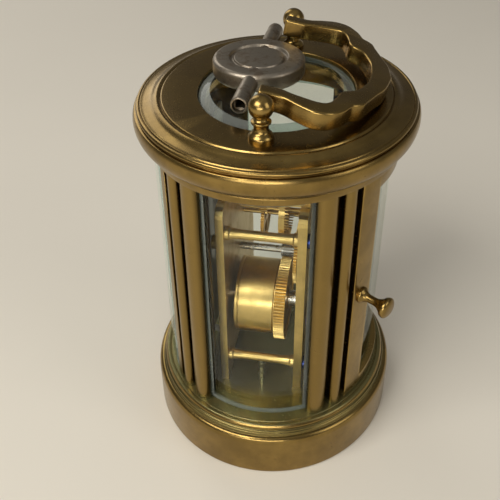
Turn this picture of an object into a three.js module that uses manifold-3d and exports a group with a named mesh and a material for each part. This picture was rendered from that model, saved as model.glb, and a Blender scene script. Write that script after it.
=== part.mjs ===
// Miniature oval carriage clock: a brass case with bowed glass panels, a folding handle, a hinged
// rear door and a key-wound movement with a lever escapement on a platform.
// Millimetres. +Z is up, the dial faces -Y, the door faces +Y, and the origin is the middle of the
// base's underside.
import * as THREE from "three";
import { mergeVertices } from "three/addons/utils/BufferGeometryUtils.js";
import Module from "manifold-3d";

const wasm = await Module();
wasm.setup();

// ---------------------------------------------------------------- driving dimensions
// Case. Its plan is an oval, and a wall is placed by how far it stands outside that oval.
const CASE_HALF_X = 29.8;
const CASE_HALF_Y = 27.3;
const BASE_HEIGHT = 15.2;
const BASE_SPREAD = 3.6;
const BASE_WALL = 4.3;
const DECK_THICKNESS = 5.6;
const WINDOW_HEIGHT = 63;
const CORNICE_HEIGHT = 9.8;
const TOP_PLATE_THICKNESS = 3.3;
const PILASTER_DEPTH = 5;

// Turns round the oval, in radians from +X, that mark out one quarter of the case.
const SIDE_WINDOW_TURN = 0.48;
const WIDE_REED_TURN = 0.178;
const NARROW_REED_TURN = 0.12;
const REED_GROOVE_TURN = 0.047;
const EDGE_GROOVE_TURN = 0.03;
const FRONT_STRIP_TURN = 0.07;
const FRONT_STRIP_INSET = 0.3;
const DOOR_STILE_TURN = 0.21;

const REED_ROUND = 1.5;
const REED_GROOVE_DEPTH = 2.6;

// Glass.
const GLASS_THICKNESS = 1.8;
const SIDE_GLASS_INSET = 2.2;
const FRONT_GLASS_INSET = 0.4;
const GLASS_GROOVE_DEPTH = 0.9;
const GLASS_CLEARANCE = 0.12;
const TOP_GLASS_INSET = 10.6;
const TOP_GLASS_BEVEL = 2.5;
const TOP_GLASS_THICKNESS = 2.1;
const TOP_GLASS_STAND = 0.3;
const TOP_GLASS_LEDGE = 1.5;

// Rear door.
const DOOR_THICKNESS = 3;
const DOOR_INSET = 0.3;
const DOOR_GAP = 0.35;
const DOOR_RAIL = 3.4;
const DOOR_GLASS_THICKNESS = 1.3;
const DOOR_REBATE = 1.2;
const HINGE_PIN_RADIUS = 0.5;
const HINGE_PIN_REACH = 2.6;
const KNOB_LENGTH = 7.6;
const KNOB_RADIUS = 2.5;

// Folding handle and its posts.
const POST_INSET = 7.9;
const POST_Y = 0.4;
const BALL_RADIUS = 2.45;
const BALL_HEIGHT = 6.56;
const HANDLE_REACH = 23.4;
const HANDLE_THICKNESS = 3.8;
const HANDLE_ABOVE_PIN = 1.75;
const HANDLE_TILT = THREE.MathUtils.degToRad(10.5);
const HANDLE_PIN_RADIUS = 0.7;

// Double-ended key that lies loose on the top glass.
const KEY_BOW_RADIUS = 10;
const KEY_BOW_THICKNESS = 4;
const KEY_TUBE_RADIUS = 1.8;
const KEY_LENGTH = 39.4;
const KEY_PLACE = [-5.4, -4.8];
const KEY_TURN = THREE.MathUtils.degToRad(-1.7);

// Movement frame.
const PLATE_SIDE_ROOM = 11.8;
const REAR_ROOM = 17.7;
const FRONT_ROOM = 16.8;
const BACK_PLATE_THICKNESS = 2;
const FRONT_PLATE_THICKNESS = 1.8;
const PLATFORM_HEADROOM = 14;
const PLATE_HEIGHT = WINDOW_HEIGHT - PLATFORM_HEADROOM;
const PLATE_LEG = 3.3;
const PILLAR_RADIUS = 1.6;
const PILLAR_INSET = 2.2;
const SCREW_RADIUS = 0.9;
const RUNNING_CLEARANCE = 0.08;
const PIVOT_RADIUS = 0.45;
const ARBOR_RADIUS = 0.6;

// Train. Every module is a share of the plate height, so the train grows with the frame.
const GREAT_MODULE = PLATE_HEIGHT / 201.6;
const CENTRE_MODULE = PLATE_HEIGHT / 222.7;
const THIRD_MODULE = PLATE_HEIGHT / 245;
const CONTRATE_RADIUS = PLATE_HEIGHT / 8.3;
const TEETH = {
  great: 84, centrePinion: 14,
  centre: 72, thirdPinion: 8,
  third: 64, contratePinion: 8,
  contrate: 50, escapePinion: 6,
  escape: 15, ratchet: 24,
  cannon: 12, minute: 36,
  minutePinion: 10, hour: 40,
};
const BARREL_X = PLATE_HEIGHT * 0.1224;
const BARREL_RISE = PLATE_HEIGHT * 0.3265;
const THIRD_X = PLATE_HEIGHT * -0.106;
const SQUARE_SIDE = 2.4;
const SQUARE_LENGTH = 7.4;
const SETTING_SQUARE_SIDE = 1.6;
const SETTING_SQUARE_LENGTH = 4.6;
const WHEEL_THICKNESS = 0.8;
const MOTION_DISTANCE = 6;

// Platform, balance and hands.
const PLATFORM_THICKNESS = 1.5;
const BALANCE_RADIUS = 5.2;
const ESCAPE_RADIUS = 3;
const DIAL_THICKNESS = 0.8;
const DIAL_STANDOFF = 5.2;
const MINUTE_HAND_LENGTH = 12.6;
const HOUR_HAND_LENGTH = 8.6;

// ---------------------------------------------------------------- worked-out places
const DECK_Z = BASE_HEIGHT;
const CORNICE_Z = DECK_Z + WINDOW_HEIGHT;
const TOP_Z = CORNICE_Z + CORNICE_HEIGHT;
const PILASTER_TURN =
  SIDE_WINDOW_TURN + WIDE_REED_TURN + REED_GROOVE_TURN + NARROW_REED_TURN + EDGE_GROOVE_TURN;
const BALL_Z = TOP_Z + BALL_HEIGHT;
const POST_X = CASE_HALF_X - POST_INSET;
const BACK_OUTER = CASE_HALF_Y - REAR_ROOM;
const BACK_INNER = BACK_OUTER - BACK_PLATE_THICKNESS;
const FRONT_OUTER = FRONT_ROOM - CASE_HALF_Y;
const FRONT_INNER = FRONT_OUTER + FRONT_PLATE_THICKNESS;
const PLATE_HALF_X = CASE_HALF_X - PLATE_SIDE_ROOM;
const PLATE_Z = DECK_Z + PLATE_LEG;
const PLATE_TOP = PLATE_Z + PLATE_HEIGHT;
const DIAL_BACK = FRONT_OUTER - DIAL_STANDOFF;
const DIAL_FRONT = DIAL_BACK - DIAL_THICKNESS;

const pitchRadius = (teeth, module) => (teeth * module) / 2;
const reachBetween = (distance, across) => Math.sqrt(distance ** 2 - across ** 2);
const BARREL = { x: BARREL_X, z: PLATE_Z + BARREL_RISE };
const CENTRE = {
  x: 0,
  z: BARREL.z + reachBetween(pitchRadius(TEETH.great + TEETH.centrePinion, GREAT_MODULE), BARREL_X),
};
const THIRD = {
  x: THIRD_X,
  z: CENTRE.z + reachBetween(pitchRadius(TEETH.centre + TEETH.thirdPinion, CENTRE_MODULE), THIRD_X),
};
const CONTRATE = {
  x: 0,
  z: THIRD.z + reachBetween(pitchRadius(TEETH.third + TEETH.contratePinion, THIRD_MODULE), THIRD_X),
};
const MINUTE = { x: 0, z: CENTRE.z - MOTION_DISTANCE };
const CANNON_MODULE = (2 * MOTION_DISTANCE) / (TEETH.cannon + TEETH.minute);
const HOUR_MODULE = (2 * MOTION_DISTANCE) / (TEETH.minutePinion + TEETH.hour);

// ---------------------------------------------------------------- materials
const paint = (color, roughness, metalness, extra = {}) =>
  new THREE.MeshStandardMaterial({ color, roughness, metalness, ...extra });
const BRASS = () => paint(0x8f6f35, 0.35, 1);
const PALE_BRASS = () => paint(0xb89a5a, 0.4, 1);
const STEEL = () => paint(0x7d7b78, 0.35, 1);
const KEY_STEEL = () => paint(0x77706a, 0.45, 1);
const BLUE_STEEL = () => paint(0x26304d, 0.3, 1);
const ENAMEL = () => paint(0xf1eee4, 0.25, 0);
const GLASS = () => paint(0xbfd8d2, 0.05, 0, { transparent: true, opacity: 0.35 });

// ---------------------------------------------------------------- solids
// A closed geometry as a solid with its faces outwards.
function solid(geometry) {
  const bare = geometry.index ? geometry.toNonIndexed() : geometry;
  const onlyPlaces = new THREE.BufferGeometry();
  onlyPlaces.setAttribute("position", bare.getAttribute("position"));
  const merged = mergeVertices(onlyPlaces, 1e-4);
  const triVerts = new Uint32Array(merged.index.array);
  const vertProperties = merged.attributes.position.array;
  const shape = new wasm.Manifold(new wasm.Mesh({ numProp: 3, vertProperties, triVerts }));
  if (shape.volume() > 0) return shape;
  for (let i = 0; i < triVerts.length; i += 3) {
    [triVerts[i], triVerts[i + 1]] = [triVerts[i + 1], triVerts[i]];
  }
  return new wasm.Manifold(new wasm.Mesh({ numProp: 3, vertProperties, triVerts }));
}

function geometryOf(shape) {
  const mesh = shape.getMesh();
  const geometry = new THREE.BufferGeometry();
  geometry.setAttribute("position", new THREE.BufferAttribute(mesh.vertProperties, 3));
  geometry.setIndex(new THREE.BufferAttribute(mesh.triVerts, 1));
  geometry.computeVertexNormals();
  return geometry;
}

const union = (...shapes) => shapes.reduce((whole, next) => whole.add(next));
const cut = (shape, ...tools) => tools.reduce((left, tool) => left.subtract(tool), shape);
const vector = ([x, y]) => new THREE.Vector2(x, y);

function prism(outline, low, high, holes = []) {
  const shape = new THREE.Shape(outline.map(vector));
  shape.holes = holes.map((hole) => new THREE.Path(hole.map(vector)));
  const geometry = new THREE.ExtrudeGeometry(shape, { depth: high - low, bevelEnabled: false });
  return geometry.translate(0, 0, low);
}
const prismZ = (outline, low, high, holes) => solid(prism(outline, low, high, holes));
// The outline is drawn in X and Z, and runs along Y.
const prismY = (outline, low, high, holes) =>
  solid(prism(outline, -high, -low, holes).rotateX(Math.PI / 2));

// A profile that starts on the axis ends on it, and any other closes on itself.
function lathe(profile, sides) {
  const closed = profile[0][0] === 0 ? profile : [...profile, profile[0]];
  return new THREE.LatheGeometry(closed.map(vector), sides);
}
const latheY = (profile, sides = 24) => solid(lathe(profile, sides));
const latheZ = (profile, sides = 24) => solid(lathe(profile, sides).rotateX(Math.PI / 2));
const rodY = (radius, low, high, sides = 10) =>
  latheY([[0, low], [radius, low], [radius, high], [0, high]], sides);
const rodZ = (radius, low, high, sides = 10) =>
  latheZ([[0, low], [radius, low], [radius, high], [0, high]], sides);

const box = (x0, x1, y0, y1, z0, z1) =>
  solid(new THREE.BoxGeometry(x1 - x0, y1 - y0, z1 - z0)
    .translate((x0 + x1) / 2, (y0 + y1) / 2, (z0 + z1) / 2));

function circle(radius, sides, x = 0, y = 0) {
  return Array.from({ length: sides }, (_, i) => {
    const turn = (i / sides) * 2 * Math.PI;
    return [x + radius * Math.cos(turn), y + radius * Math.sin(turn)];
  });
}

// Evenly spaced numbers from one end to the other.
const steps = (from, to, count) =>
  Array.from({ length: count + 1 }, (_, i) => from + ((to - from) * i) / count);

// ---------------------------------------------------------------- the oval
const ovalPoint = (turn, offset) => [
  (CASE_HALF_X + offset) * Math.cos(turn),
  (CASE_HALF_Y + offset) * Math.sin(turn),
];

// A profile of [offset, z] carried right round the oval. The offset -CASE_HALF_X is the axis.
function ovalLathe(profile, sides = 44) {
  const points = profile.map(([offset, z]) => [CASE_HALF_X + offset, z]);
  const geometry = lathe(points, sides).rotateX(Math.PI / 2);
  const place = geometry.attributes.position;
  for (let i = 0; i < place.count; i += 1) {
    const radius = Math.hypot(place.getX(i), place.getY(i));
    const across = Math.max(radius - CASE_HALF_X + CASE_HALF_Y, 0);
    place.setY(i, radius > 0 ? (place.getY(i) * across) / radius : 0);
  }
  return solid(geometry);
}

// A bowed panel between two turns and two offsets.
function ovalPanel(fromTurn, toTurn, outer, inner, low, high, count = 20) {
  const turns = steps(fromTurn, toTurn, count);
  const outline = [
    ...turns.map((turn) => ovalPoint(turn, outer)),
    ...turns.reverse().map((turn) => ovalPoint(turn, inner)),
  ];
  return prismZ(outline, low, high);
}

// ---------------------------------------------------------------- assembly
const clock = new THREE.Group();
clock.name = "oval_carriage_clock";

function add(name, shape, material, x = 0, y = 0, z = 0, parent = clock) {
  const mesh = new THREE.Mesh(geometryOf(shape), material);
  mesh.name = name;
  mesh.position.set(x, y, z);
  parent.add(mesh);
  return mesh;
}

// The four quarters of the case, and how a turn in the rear right quarter maps to each.
const QUARTERS = [
  { name: "rear_right", turn: (t) => t, front: false },
  { name: "rear_left", turn: (t) => Math.PI - t, front: false },
  { name: "front_right", turn: (t) => -t, front: true },
  { name: "front_left", turn: (t) => Math.PI + t, front: true },
];

// ---------------------------------------------------------------- case glass
const SIDE_GLASS_SEAT_TURN = 0.035;
const FRONT_GLASS_GAP_TURN = 0.005;
const sideGlassEnd = SIDE_WINDOW_TURN + SIDE_GLASS_SEAT_TURN;
const frontGlassStart = PILASTER_TURN + FRONT_STRIP_TURN + FRONT_GLASS_GAP_TURN;
const GLASS_LOW = DECK_Z - GLASS_GROOVE_DEPTH + GLASS_CLEARANCE;
const GLASS_HIGH = CORNICE_Z + GLASS_GROOVE_DEPTH - GLASS_CLEARANCE;

// A bowed pane, or the groove it stands in, which is wider all round by a margin.
function pane(middleTurn, halfTurn, inset, low, high, margin = 0) {
  const reach = halfTurn + margin / CASE_HALF_Y;
  return ovalPanel(
    middleTurn - reach, middleTurn + reach,
    -inset + margin, -inset - GLASS_THICKNESS - margin,
    low, high, 12,
  );
}
const PANES = [
  { name: "right_glass", turn: 0, half: sideGlassEnd, inset: SIDE_GLASS_INSET },
  { name: "left_glass", turn: Math.PI, half: sideGlassEnd, inset: SIDE_GLASS_INSET },
  { name: "front_glass", turn: -Math.PI / 2, half: Math.PI / 2 - frontGlassStart,
    inset: FRONT_GLASS_INSET },
];
for (const { name, turn, half, inset } of PANES) {
  add(name, pane(turn, half, inset, GLASS_LOW, GLASS_HIGH), GLASS());
}
const paneGrooves = (low, high) =>
  PANES.map(({ turn, half, inset }) => pane(turn, half, inset, low, high, GLASS_CLEARANCE));

// ---------------------------------------------------------------- door hinge line and pillar screws
const doorMiddle = DOOR_INSET + DOOR_THICKNESS / 2;
const edgeTurn = (length) => length / Math.hypot(
  CASE_HALF_X * Math.sin(PILASTER_TURN), CASE_HALF_Y * Math.cos(PILASTER_TURN));
const doorEdgeTurn = PILASTER_TURN + edgeTurn(DOOR_GAP);
const hingeTurn = Math.PI - doorEdgeTurn - edgeTurn(DOOR_THICKNESS / 2);
const [HINGE_X, HINGE_Y] = ovalPoint(hingeTurn, -doorMiddle);

const caseScrewTurn = SIDE_WINDOW_TURN + WIDE_REED_TURN + REED_GROOVE_TURN + NARROW_REED_TURN / 2;
const CASE_SCREW_INSET = 3.3;
const caseScrewPlace = (quarter) => ovalPoint(quarter.turn(caseScrewTurn), -CASE_SCREW_INSET);
const CASE_SCREW_DEPTH = 6;
const SPIGOT_HEIGHT = 3;

// ---------------------------------------------------------------- base
function base() {
  const top = BASE_HEIGHT;
  const spread = BASE_SPREAD;
  const profile = [
    [-CASE_HALF_X, top], [1.2, top], [1.7, top - 0.9], [1.6, top - 1.4], [2.1, top - 1.7],
    [2.3, top - 2.9], [spread - 0.7, top - 3], [spread, top - 4.2], [spread, 0],
    [spread - BASE_WALL, 0], [spread - BASE_WALL, top - DECK_THICKNESS],
    [-CASE_HALF_X, top - DECK_THICKNESS],
  ];
  const screwHoles = QUARTERS.map((quarter) => {
    const [x, y] = caseScrewPlace(quarter);
    return rodZ(SCREW_RADIUS + RUNNING_CLEARANCE, 0, top + 1).translate([x, y, 0]);
  });
  const movementHoles = [-1, 1].map((side) =>
    rodZ(SCREW_RADIUS + RUNNING_CLEARANCE, 0, top + 1).translate([side * pillarX, pillarMiddleY, 0]));
  const hingeHole = rodZ(HINGE_PIN_RADIUS + RUNNING_CLEARANCE, top - HINGE_PIN_REACH, top + 1)
    .translate([HINGE_X, HINGE_Y, 0]);
  return cut(ovalLathe(profile), ...screwHoles, ...movementHoles, hingeHole,
    ...paneGrooves(top - GLASS_GROOVE_DEPTH, top + 1));
}

// ---------------------------------------------------------------- cornice
function cornice() {
  const low = CORNICE_Z;
  const top = TOP_Z;
  const ledge = top + TOP_GLASS_STAND - TOP_GLASS_THICKNESS;
  const under = top - TOP_PLATE_THICKNESS;
  const profile = [
    [0.4, low], [0.6, low + 1.6], [0.1, low + 2], [1.3, low + 2.3], [2.6, low + 3.5],
    [3.3, low + 5.4], [2.9, low + 7.4], [2.2, top - 2.2], [2.5, top - 1.6], [1.6, top - 1.1],
    [-0.4, top - 0.95], [-1.8, top - 0.1], [-2.7, top - 0.3], [-3.1, top],
    [-TOP_GLASS_INSET, top], [-TOP_GLASS_INSET, ledge],
    [-TOP_GLASS_INSET - TOP_GLASS_LEDGE, ledge], [-TOP_GLASS_INSET - TOP_GLASS_LEDGE, under],
    [-PILASTER_DEPTH, under], [-PILASTER_DEPTH, low],
  ];
  const sockets = QUARTERS.map((quarter) => {
    const [x, y] = caseScrewPlace(quarter);
    return rodZ(SCREW_RADIUS + RUNNING_CLEARANCE, low - 1, low + SPIGOT_HEIGHT + 0.2)
      .translate([x, y, 0]);
  });
  const postHoles = [-1, 1].map((side) =>
    rodZ(SCREW_RADIUS + RUNNING_CLEARANCE, 0, top + 1).translate([side * POST_X, POST_Y, 0]));
  const hingeHole = rodZ(HINGE_PIN_RADIUS + RUNNING_CLEARANCE, low - 1, low + HINGE_PIN_REACH)
    .translate([HINGE_X, HINGE_Y, 0]);
  return cut(ovalLathe(profile), ...sockets, ...postHoles, hingeHole,
    ...paneGrooves(low - 1, low + GLASS_GROOVE_DEPTH));
}

function topGlass() {
  const high = TOP_Z + TOP_GLASS_STAND;
  const edge = -TOP_GLASS_INSET - GLASS_CLEARANCE;
  const low = high - TOP_GLASS_THICKNESS;
  return ovalLathe([
    [-CASE_HALF_X, low], [edge, low], [edge, high - 1.1],
    [edge - TOP_GLASS_BEVEL, high], [-CASE_HALF_X, high],
  ], 48);
}

// ---------------------------------------------------------------- pilasters
// A reed's rounded face from one turn to another.
function reed(from, to, count) {
  return steps(0, 1, count).map((share) => [
    from + (to - from) * share,
    -REED_ROUND * (1 - Math.sqrt(1 - (2 * share - 1) ** 2)),
  ]);
}

function pilaster(quarter) {
  const slot = -SIDE_GLASS_INSET + GLASS_CLEARANCE;
  const slotBack = -SIDE_GLASS_INSET - GLASS_THICKNESS - GLASS_CLEARANCE;
  const slotEnd = sideGlassEnd + GLASS_CLEARANCE / CASE_HALF_Y;
  const wideEnd = SIDE_WINDOW_TURN + WIDE_REED_TURN;
  const narrowStart = wideEnd + REED_GROOVE_TURN;
  const narrowEnd = narrowStart + NARROW_REED_TURN;
  const shelf = -FRONT_GLASS_INSET - GLASS_THICKNESS - GLASS_CLEARANCE;
  const stripEnd = frontGlassStart - GLASS_CLEARANCE / CASE_HALF_Y;
  const frontFlange = [
    [narrowEnd, -REED_GROOVE_DEPTH], [PILASTER_TURN, -REED_GROOVE_DEPTH],
    [PILASTER_TURN, -FRONT_STRIP_INSET], [stripEnd, -FRONT_STRIP_INSET],
    [stripEnd, shelf], [stripEnd + 0.04, shelf], [stripEnd + 0.04, -PILASTER_DEPTH],
  ];
  const rearEdge = [
    [narrowEnd + 0.004, -REED_GROOVE_DEPTH], [PILASTER_TURN, -REED_GROOVE_DEPTH],
    [PILASTER_TURN, -PILASTER_DEPTH],
  ];
  const outline = [
    [SIDE_WINDOW_TURN + 0.012, -PILASTER_DEPTH], [SIDE_WINDOW_TURN + 0.012, slotBack],
    [slotEnd, slotBack], [slotEnd, slot], [SIDE_WINDOW_TURN, slot],
    ...reed(SIDE_WINDOW_TURN, wideEnd, 10),
    [wideEnd, -REED_GROOVE_DEPTH], [narrowStart, -REED_GROOVE_DEPTH],
    ...reed(narrowStart, narrowEnd, 8),
    ...(quarter.front ? frontFlange : rearEdge),
  ];
  const plan = outline.map(([turn, offset]) => ovalPoint(quarter.turn(turn), offset));
  const [x, y] = caseScrewPlace(quarter);
  const screwHole = rodZ(SCREW_RADIUS + RUNNING_CLEARANCE, DECK_Z - 1, DECK_Z + CASE_SCREW_DEPTH + 0.3);
  const spigot = rodZ(SCREW_RADIUS, CORNICE_Z - 1, CORNICE_Z + SPIGOT_HEIGHT);
  return cut(prismZ(plan, DECK_Z, CORNICE_Z), screwHole.translate([x, y, 0]))
    .add(spigot.translate([x, y, 0]));
}

// A cheese-headed screw that points up from the underside of its head.
const screwUp = (radius, headRadius, headHeight, length) => latheZ([
  [0, -headHeight], [headRadius, -headHeight], [headRadius, 0], [radius, 0],
  [radius, length], [0, length],
], 10);

// ---------------------------------------------------------------- rear door
const DOOR_LOW = DECK_Z + DOOR_GAP;
const DOOR_HIGH = CORNICE_Z - DOOR_GAP;
const doorWindowTurn = doorEdgeTurn + DOOR_STILE_TURN;

function doorFrame() {
  const outer = -DOOR_INSET;
  const inner = -DOOR_INSET - DOOR_THICKNESS;
  const rebateTurn = DOOR_REBATE / CASE_HALF_Y;
  const slab = ovalPanel(doorEdgeTurn, hingeTurn, outer, inner, DOOR_LOW, DOOR_HIGH, 24);
  const knuckle = rodZ(DOOR_THICKNESS / 2, DOOR_LOW, DOOR_HIGH, 20).translate([HINGE_X, HINGE_Y, 0]);
  const window = ovalPanel(doorWindowTurn, Math.PI - doorWindowTurn, outer + 2, inner - 2,
    DOOR_LOW + DOOR_RAIL, DOOR_HIGH - DOOR_RAIL, 20);
  const rebate = ovalPanel(doorWindowTurn - rebateTurn, Math.PI - doorWindowTurn + rebateTurn,
    inner + DOOR_GLASS_THICKNESS + 2 * GLASS_CLEARANCE, inner - 2,
    DOOR_LOW + DOOR_RAIL - DOOR_REBATE, DOOR_HIGH - DOOR_RAIL + DOOR_REBATE, 20);
  const bore = HINGE_PIN_RADIUS + RUNNING_CLEARANCE;
  const pinHoles = [
    rodZ(bore, DOOR_LOW - 1, DECK_Z + HINGE_PIN_REACH + 0.3),
    rodZ(bore, CORNICE_Z - HINGE_PIN_REACH - 0.3, DOOR_HIGH + 1),
  ].map((hole) => hole.translate([HINGE_X, HINGE_Y, 0]));
  const knobHole = knobShape(SCREW_RADIUS + RUNNING_CLEARANCE, 0, 0);
  return cut(slab.add(knuckle), window, rebate, ...pinHoles, knobHole);
}

function doorGlass() {
  const inner = -DOOR_INSET - DOOR_THICKNESS + GLASS_CLEARANCE;
  const reach = (DOOR_REBATE - GLASS_CLEARANCE) / CASE_HALF_Y;
  return ovalPanel(doorWindowTurn - reach, Math.PI - doorWindowTurn + reach,
    inner + DOOR_GLASS_THICKNESS, inner,
    DOOR_LOW + DOOR_RAIL - DOOR_REBATE + GLASS_CLEARANCE,
    DOOR_HIGH - DOOR_RAIL + DOOR_REBATE - GLASS_CLEARANCE, 20);
}

// The knob stands square to the stile. With no length it is the plain hole for its shank.
const knobTurn = doorEdgeTurn + DOOR_STILE_TURN / 2;
const knobHeight = DECK_Z + WINDOW_HEIGHT * 0.51;
function knobShape(shank, length, radius) {
  const profile = length
    ? [
      [0, -DOOR_THICKNESS + 0.4], [shank, -DOOR_THICKNESS + 0.4], [shank, 0.12], [1.9, 0.12],
      [1.9, 0.6], [1.35, 1.1], [0.95, 1.9], [0.9, 0.5 * length], [1.3, 0.66 * length],
      [radius - 0.35, 0.82 * length], [radius, 0.9 * length], [radius - 0.3, 0.97 * length],
      [0, length],
    ]
    : [[0, -DOOR_THICKNESS - 2], [shank, -DOOR_THICKNESS - 2], [shank, 2], [0, 2]];
  const [x, y] = ovalPoint(knobTurn, -DOOR_INSET);
  const normal = Math.atan2(Math.sin(knobTurn) / CASE_HALF_Y, Math.cos(knobTurn) / CASE_HALF_X);
  return latheY(profile, 16)
    .rotate([0, 0, THREE.MathUtils.radToDeg(normal) - 90])
    .translate([x, y, knobHeight]);
}

// ---------------------------------------------------------------- handle and posts
function post(side) {
  const turned = latheZ([
    [0, -TOP_PLATE_THICKNESS - 1.2], [SCREW_RADIUS, -TOP_PLATE_THICKNESS - 1.2], [SCREW_RADIUS, 0],
    [2.5, 0], [2.5, 0.7], [2.25, 1.25], [1.7, 1.6], [1.45, 2.3], [1.5, 3.2], [1.9, 3.7],
    [1.3, 4.7], [0, 4.7],
  ], 16);
  const ball = latheZ([
    [0, BALL_HEIGHT - BALL_RADIUS],
    ...steps(-1.25, 1.25, 8).map((lift) =>
      [BALL_RADIUS * Math.cos(lift), BALL_HEIGHT + BALL_RADIUS * Math.sin(lift)]),
    [0, BALL_HEIGHT + BALL_RADIUS],
  ], 16);
  const pin = solid(lathe([
    [0, 0], [HANDLE_PIN_RADIUS, 0], [HANDLE_PIN_RADIUS, BALL_RADIUS + 3.1], [0, BALL_RADIUS + 3.1],
  ], 10).rotateZ((side * Math.PI) / 2)).translate([0, 0, BALL_HEIGHT]);
  return union(turned, ball, pin);
}

// The handle's plan, as shares of the arm's half-width and of the reach.
const HANDLE_OUTER = [
  [1, -0.06], [1, 0.14], [1.07, 0.265], [1.13, 0.39], [1.13, 0.48], [1.09, 0.555], [1.01, 0.62],
  [0.94, 0.66], [0.84, 0.7], [0.8, 0.745], [0.74, 0.795], [0.645, 0.825], [0.56, 0.855],
  [0.43, 0.9], [0.26, 0.96], [0, 1],
];
const HANDLE_INNER = [
  [0.835, -0.06], [0.835, 0.11], [0.87, 0.205], [0.9, 0.325], [0.915, 0.42], [0.895, 0.485],
  [0.83, 0.53], [0.73, 0.56], [0.64, 0.575], [0.565, 0.605], [0.525, 0.655], [0.46, 0.715],
  [0.335, 0.765], [0.205, 0.8], [0, 0.815],
];

function handle() {
  const arm = POST_X - BALL_RADIUS - RUNNING_CLEARANCE;
  const curve = (shares, count) => new THREE.SplineCurve(
    shares.map(([across, along]) => new THREE.Vector2(across * arm, along * HANDLE_REACH)))
    .getPoints(count).map((point) => [point.x, point.y]);
  const outer = curve(HANDLE_OUTER, 30);
  const inner = curve(HANDLE_INNER, 26);
  const mirrored = (points) => points.slice(0, -1).map(([x, y]) => [-x, y]);
  const outline = [
    ...outer, ...mirrored(outer).reverse(), ...mirrored(inner), ...inner.slice().reverse(),
  ];
  const high = HANDLE_ABOVE_PIN;
  const low = high - HANDLE_THICKNESS;
  const bore = solid(lathe([
    [0, -2 * arm], [HANDLE_PIN_RADIUS + RUNNING_CLEARANCE, -2 * arm],
    [HANDLE_PIN_RADIUS + RUNNING_CLEARANCE, 2 * arm], [0, 2 * arm],
  ], 16).rotateZ(Math.PI / 2));
  return cut(prismZ(outline, low, high), bore);
}

// ---------------------------------------------------------------- key
function key() {
  const half = KEY_BOW_THICKNESS / 2;
  const recess = (half - KEY_TUBE_RADIUS) * 0.9;
  const ring = KEY_BOW_RADIUS * 0.6;
  const bow = latheZ([
    [0, -half + recess], [ring, -half + recess], [ring + 0.4, -half], [KEY_BOW_RADIUS - 0.5, -half],
    [KEY_BOW_RADIUS, -half + 0.5], [KEY_BOW_RADIUS, half - 0.5], [KEY_BOW_RADIUS - 0.5, half],
    [ring + 0.4, half], [ring, half - recess], [0, half - recess],
  ], 32);
  const tube = solid(lathe([
    [0, -KEY_LENGTH / 2], [KEY_TUBE_RADIUS, -KEY_LENGTH / 2], [KEY_TUBE_RADIUS, KEY_LENGTH / 2],
    [0, KEY_LENGTH / 2],
  ], 20).rotateZ(Math.PI / 2));
  const socket = (side, across) => {
    const depth = 6;
    const end = side * KEY_LENGTH / 2;
    return box(end - depth, end + depth, -across / 2, across / 2, -across / 2, across / 2);
  };
  return cut(union(bow, tube), socket(1, SQUARE_SIDE + 0.1), socket(-1, 1.7));
}

// ---------------------------------------------------------------- toothed wheels
// A tooth is a wedge with a flat tip. The valley's corners, from the middle of the tooth that
// follows it, and the width of the tip are shares of a tooth's pitch. The heights are in modules.
const WHEEL_TOOTH = { valley: [-0.5], tip: 0.16, above: 0.85, below: 1.15 };
const PINION_LEAF = { valley: [-0.8, -0.2], tip: 0.12, above: 0.75, below: 1.25 };

function toothOutline(teeth, module, form, phase = 0) {
  const radius = pitchRadius(teeth, module);
  const pitch = (2 * Math.PI) / teeth;
  const tip = radius + form.above * module;
  const root = radius - form.below * module;
  return Array.from({ length: teeth }, (_, i) => [
    ...form.valley.map((share) => [root, share]), [tip, -form.tip / 2], [tip, form.tip / 2],
  ].map(([r, share]) => {
    const turn = (i + phase + share) * pitch;
    return [r * Math.cos(turn), r * Math.sin(turn)];
  })).flat();
}

// Where a pair meshes, a tooth of one faces a gap of the other along the line of centres.
function meshPhase(from, to, teeth, gap) {
  const turn = Math.atan2(to.z - from.z, to.x - from.x);
  const place = (turn / (2 * Math.PI)) * teeth;
  return place - Math.floor(place) + (gap ? 0.5 : 0);
}
const phases = {
  great: meshPhase(BARREL, CENTRE, TEETH.great, false),
  centrePinion: meshPhase(CENTRE, BARREL, TEETH.centrePinion, true),
  centre: meshPhase(CENTRE, THIRD, TEETH.centre, false),
  thirdPinion: meshPhase(THIRD, CENTRE, TEETH.thirdPinion, true),
  third: meshPhase(THIRD, CONTRATE, TEETH.third, false),
  contratePinion: meshPhase(CONTRATE, THIRD, TEETH.contratePinion, true),
  cannon: meshPhase(CENTRE, MINUTE, TEETH.cannon, true),
  minute: meshPhase(MINUTE, CENTRE, TEETH.minute, false),
  minutePinion: meshPhase(MINUTE, CENTRE, TEETH.minutePinion, true),
  hour: meshPhase(CENTRE, MINUTE, TEETH.hour, false),
};

// The openings between a wheel's arms.
function crossings(count, hub, rim, armWidth) {
  return Array.from({ length: count }, (_, i) => {
    const from = (i / count) * 2 * Math.PI;
    const to = ((i + 1) / count) * 2 * Math.PI;
    const arc = (radius, a, b) => {
      const trim = armWidth / 2 / radius;
      return steps(a + Math.sign(b - a) * trim, b - Math.sign(b - a) * trim, 5)
        .map((turn) => [radius * Math.cos(turn), radius * Math.sin(turn)]);
    };
    return [...arc(rim, from, to), ...arc(hub, to, from)];
  });
}

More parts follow.
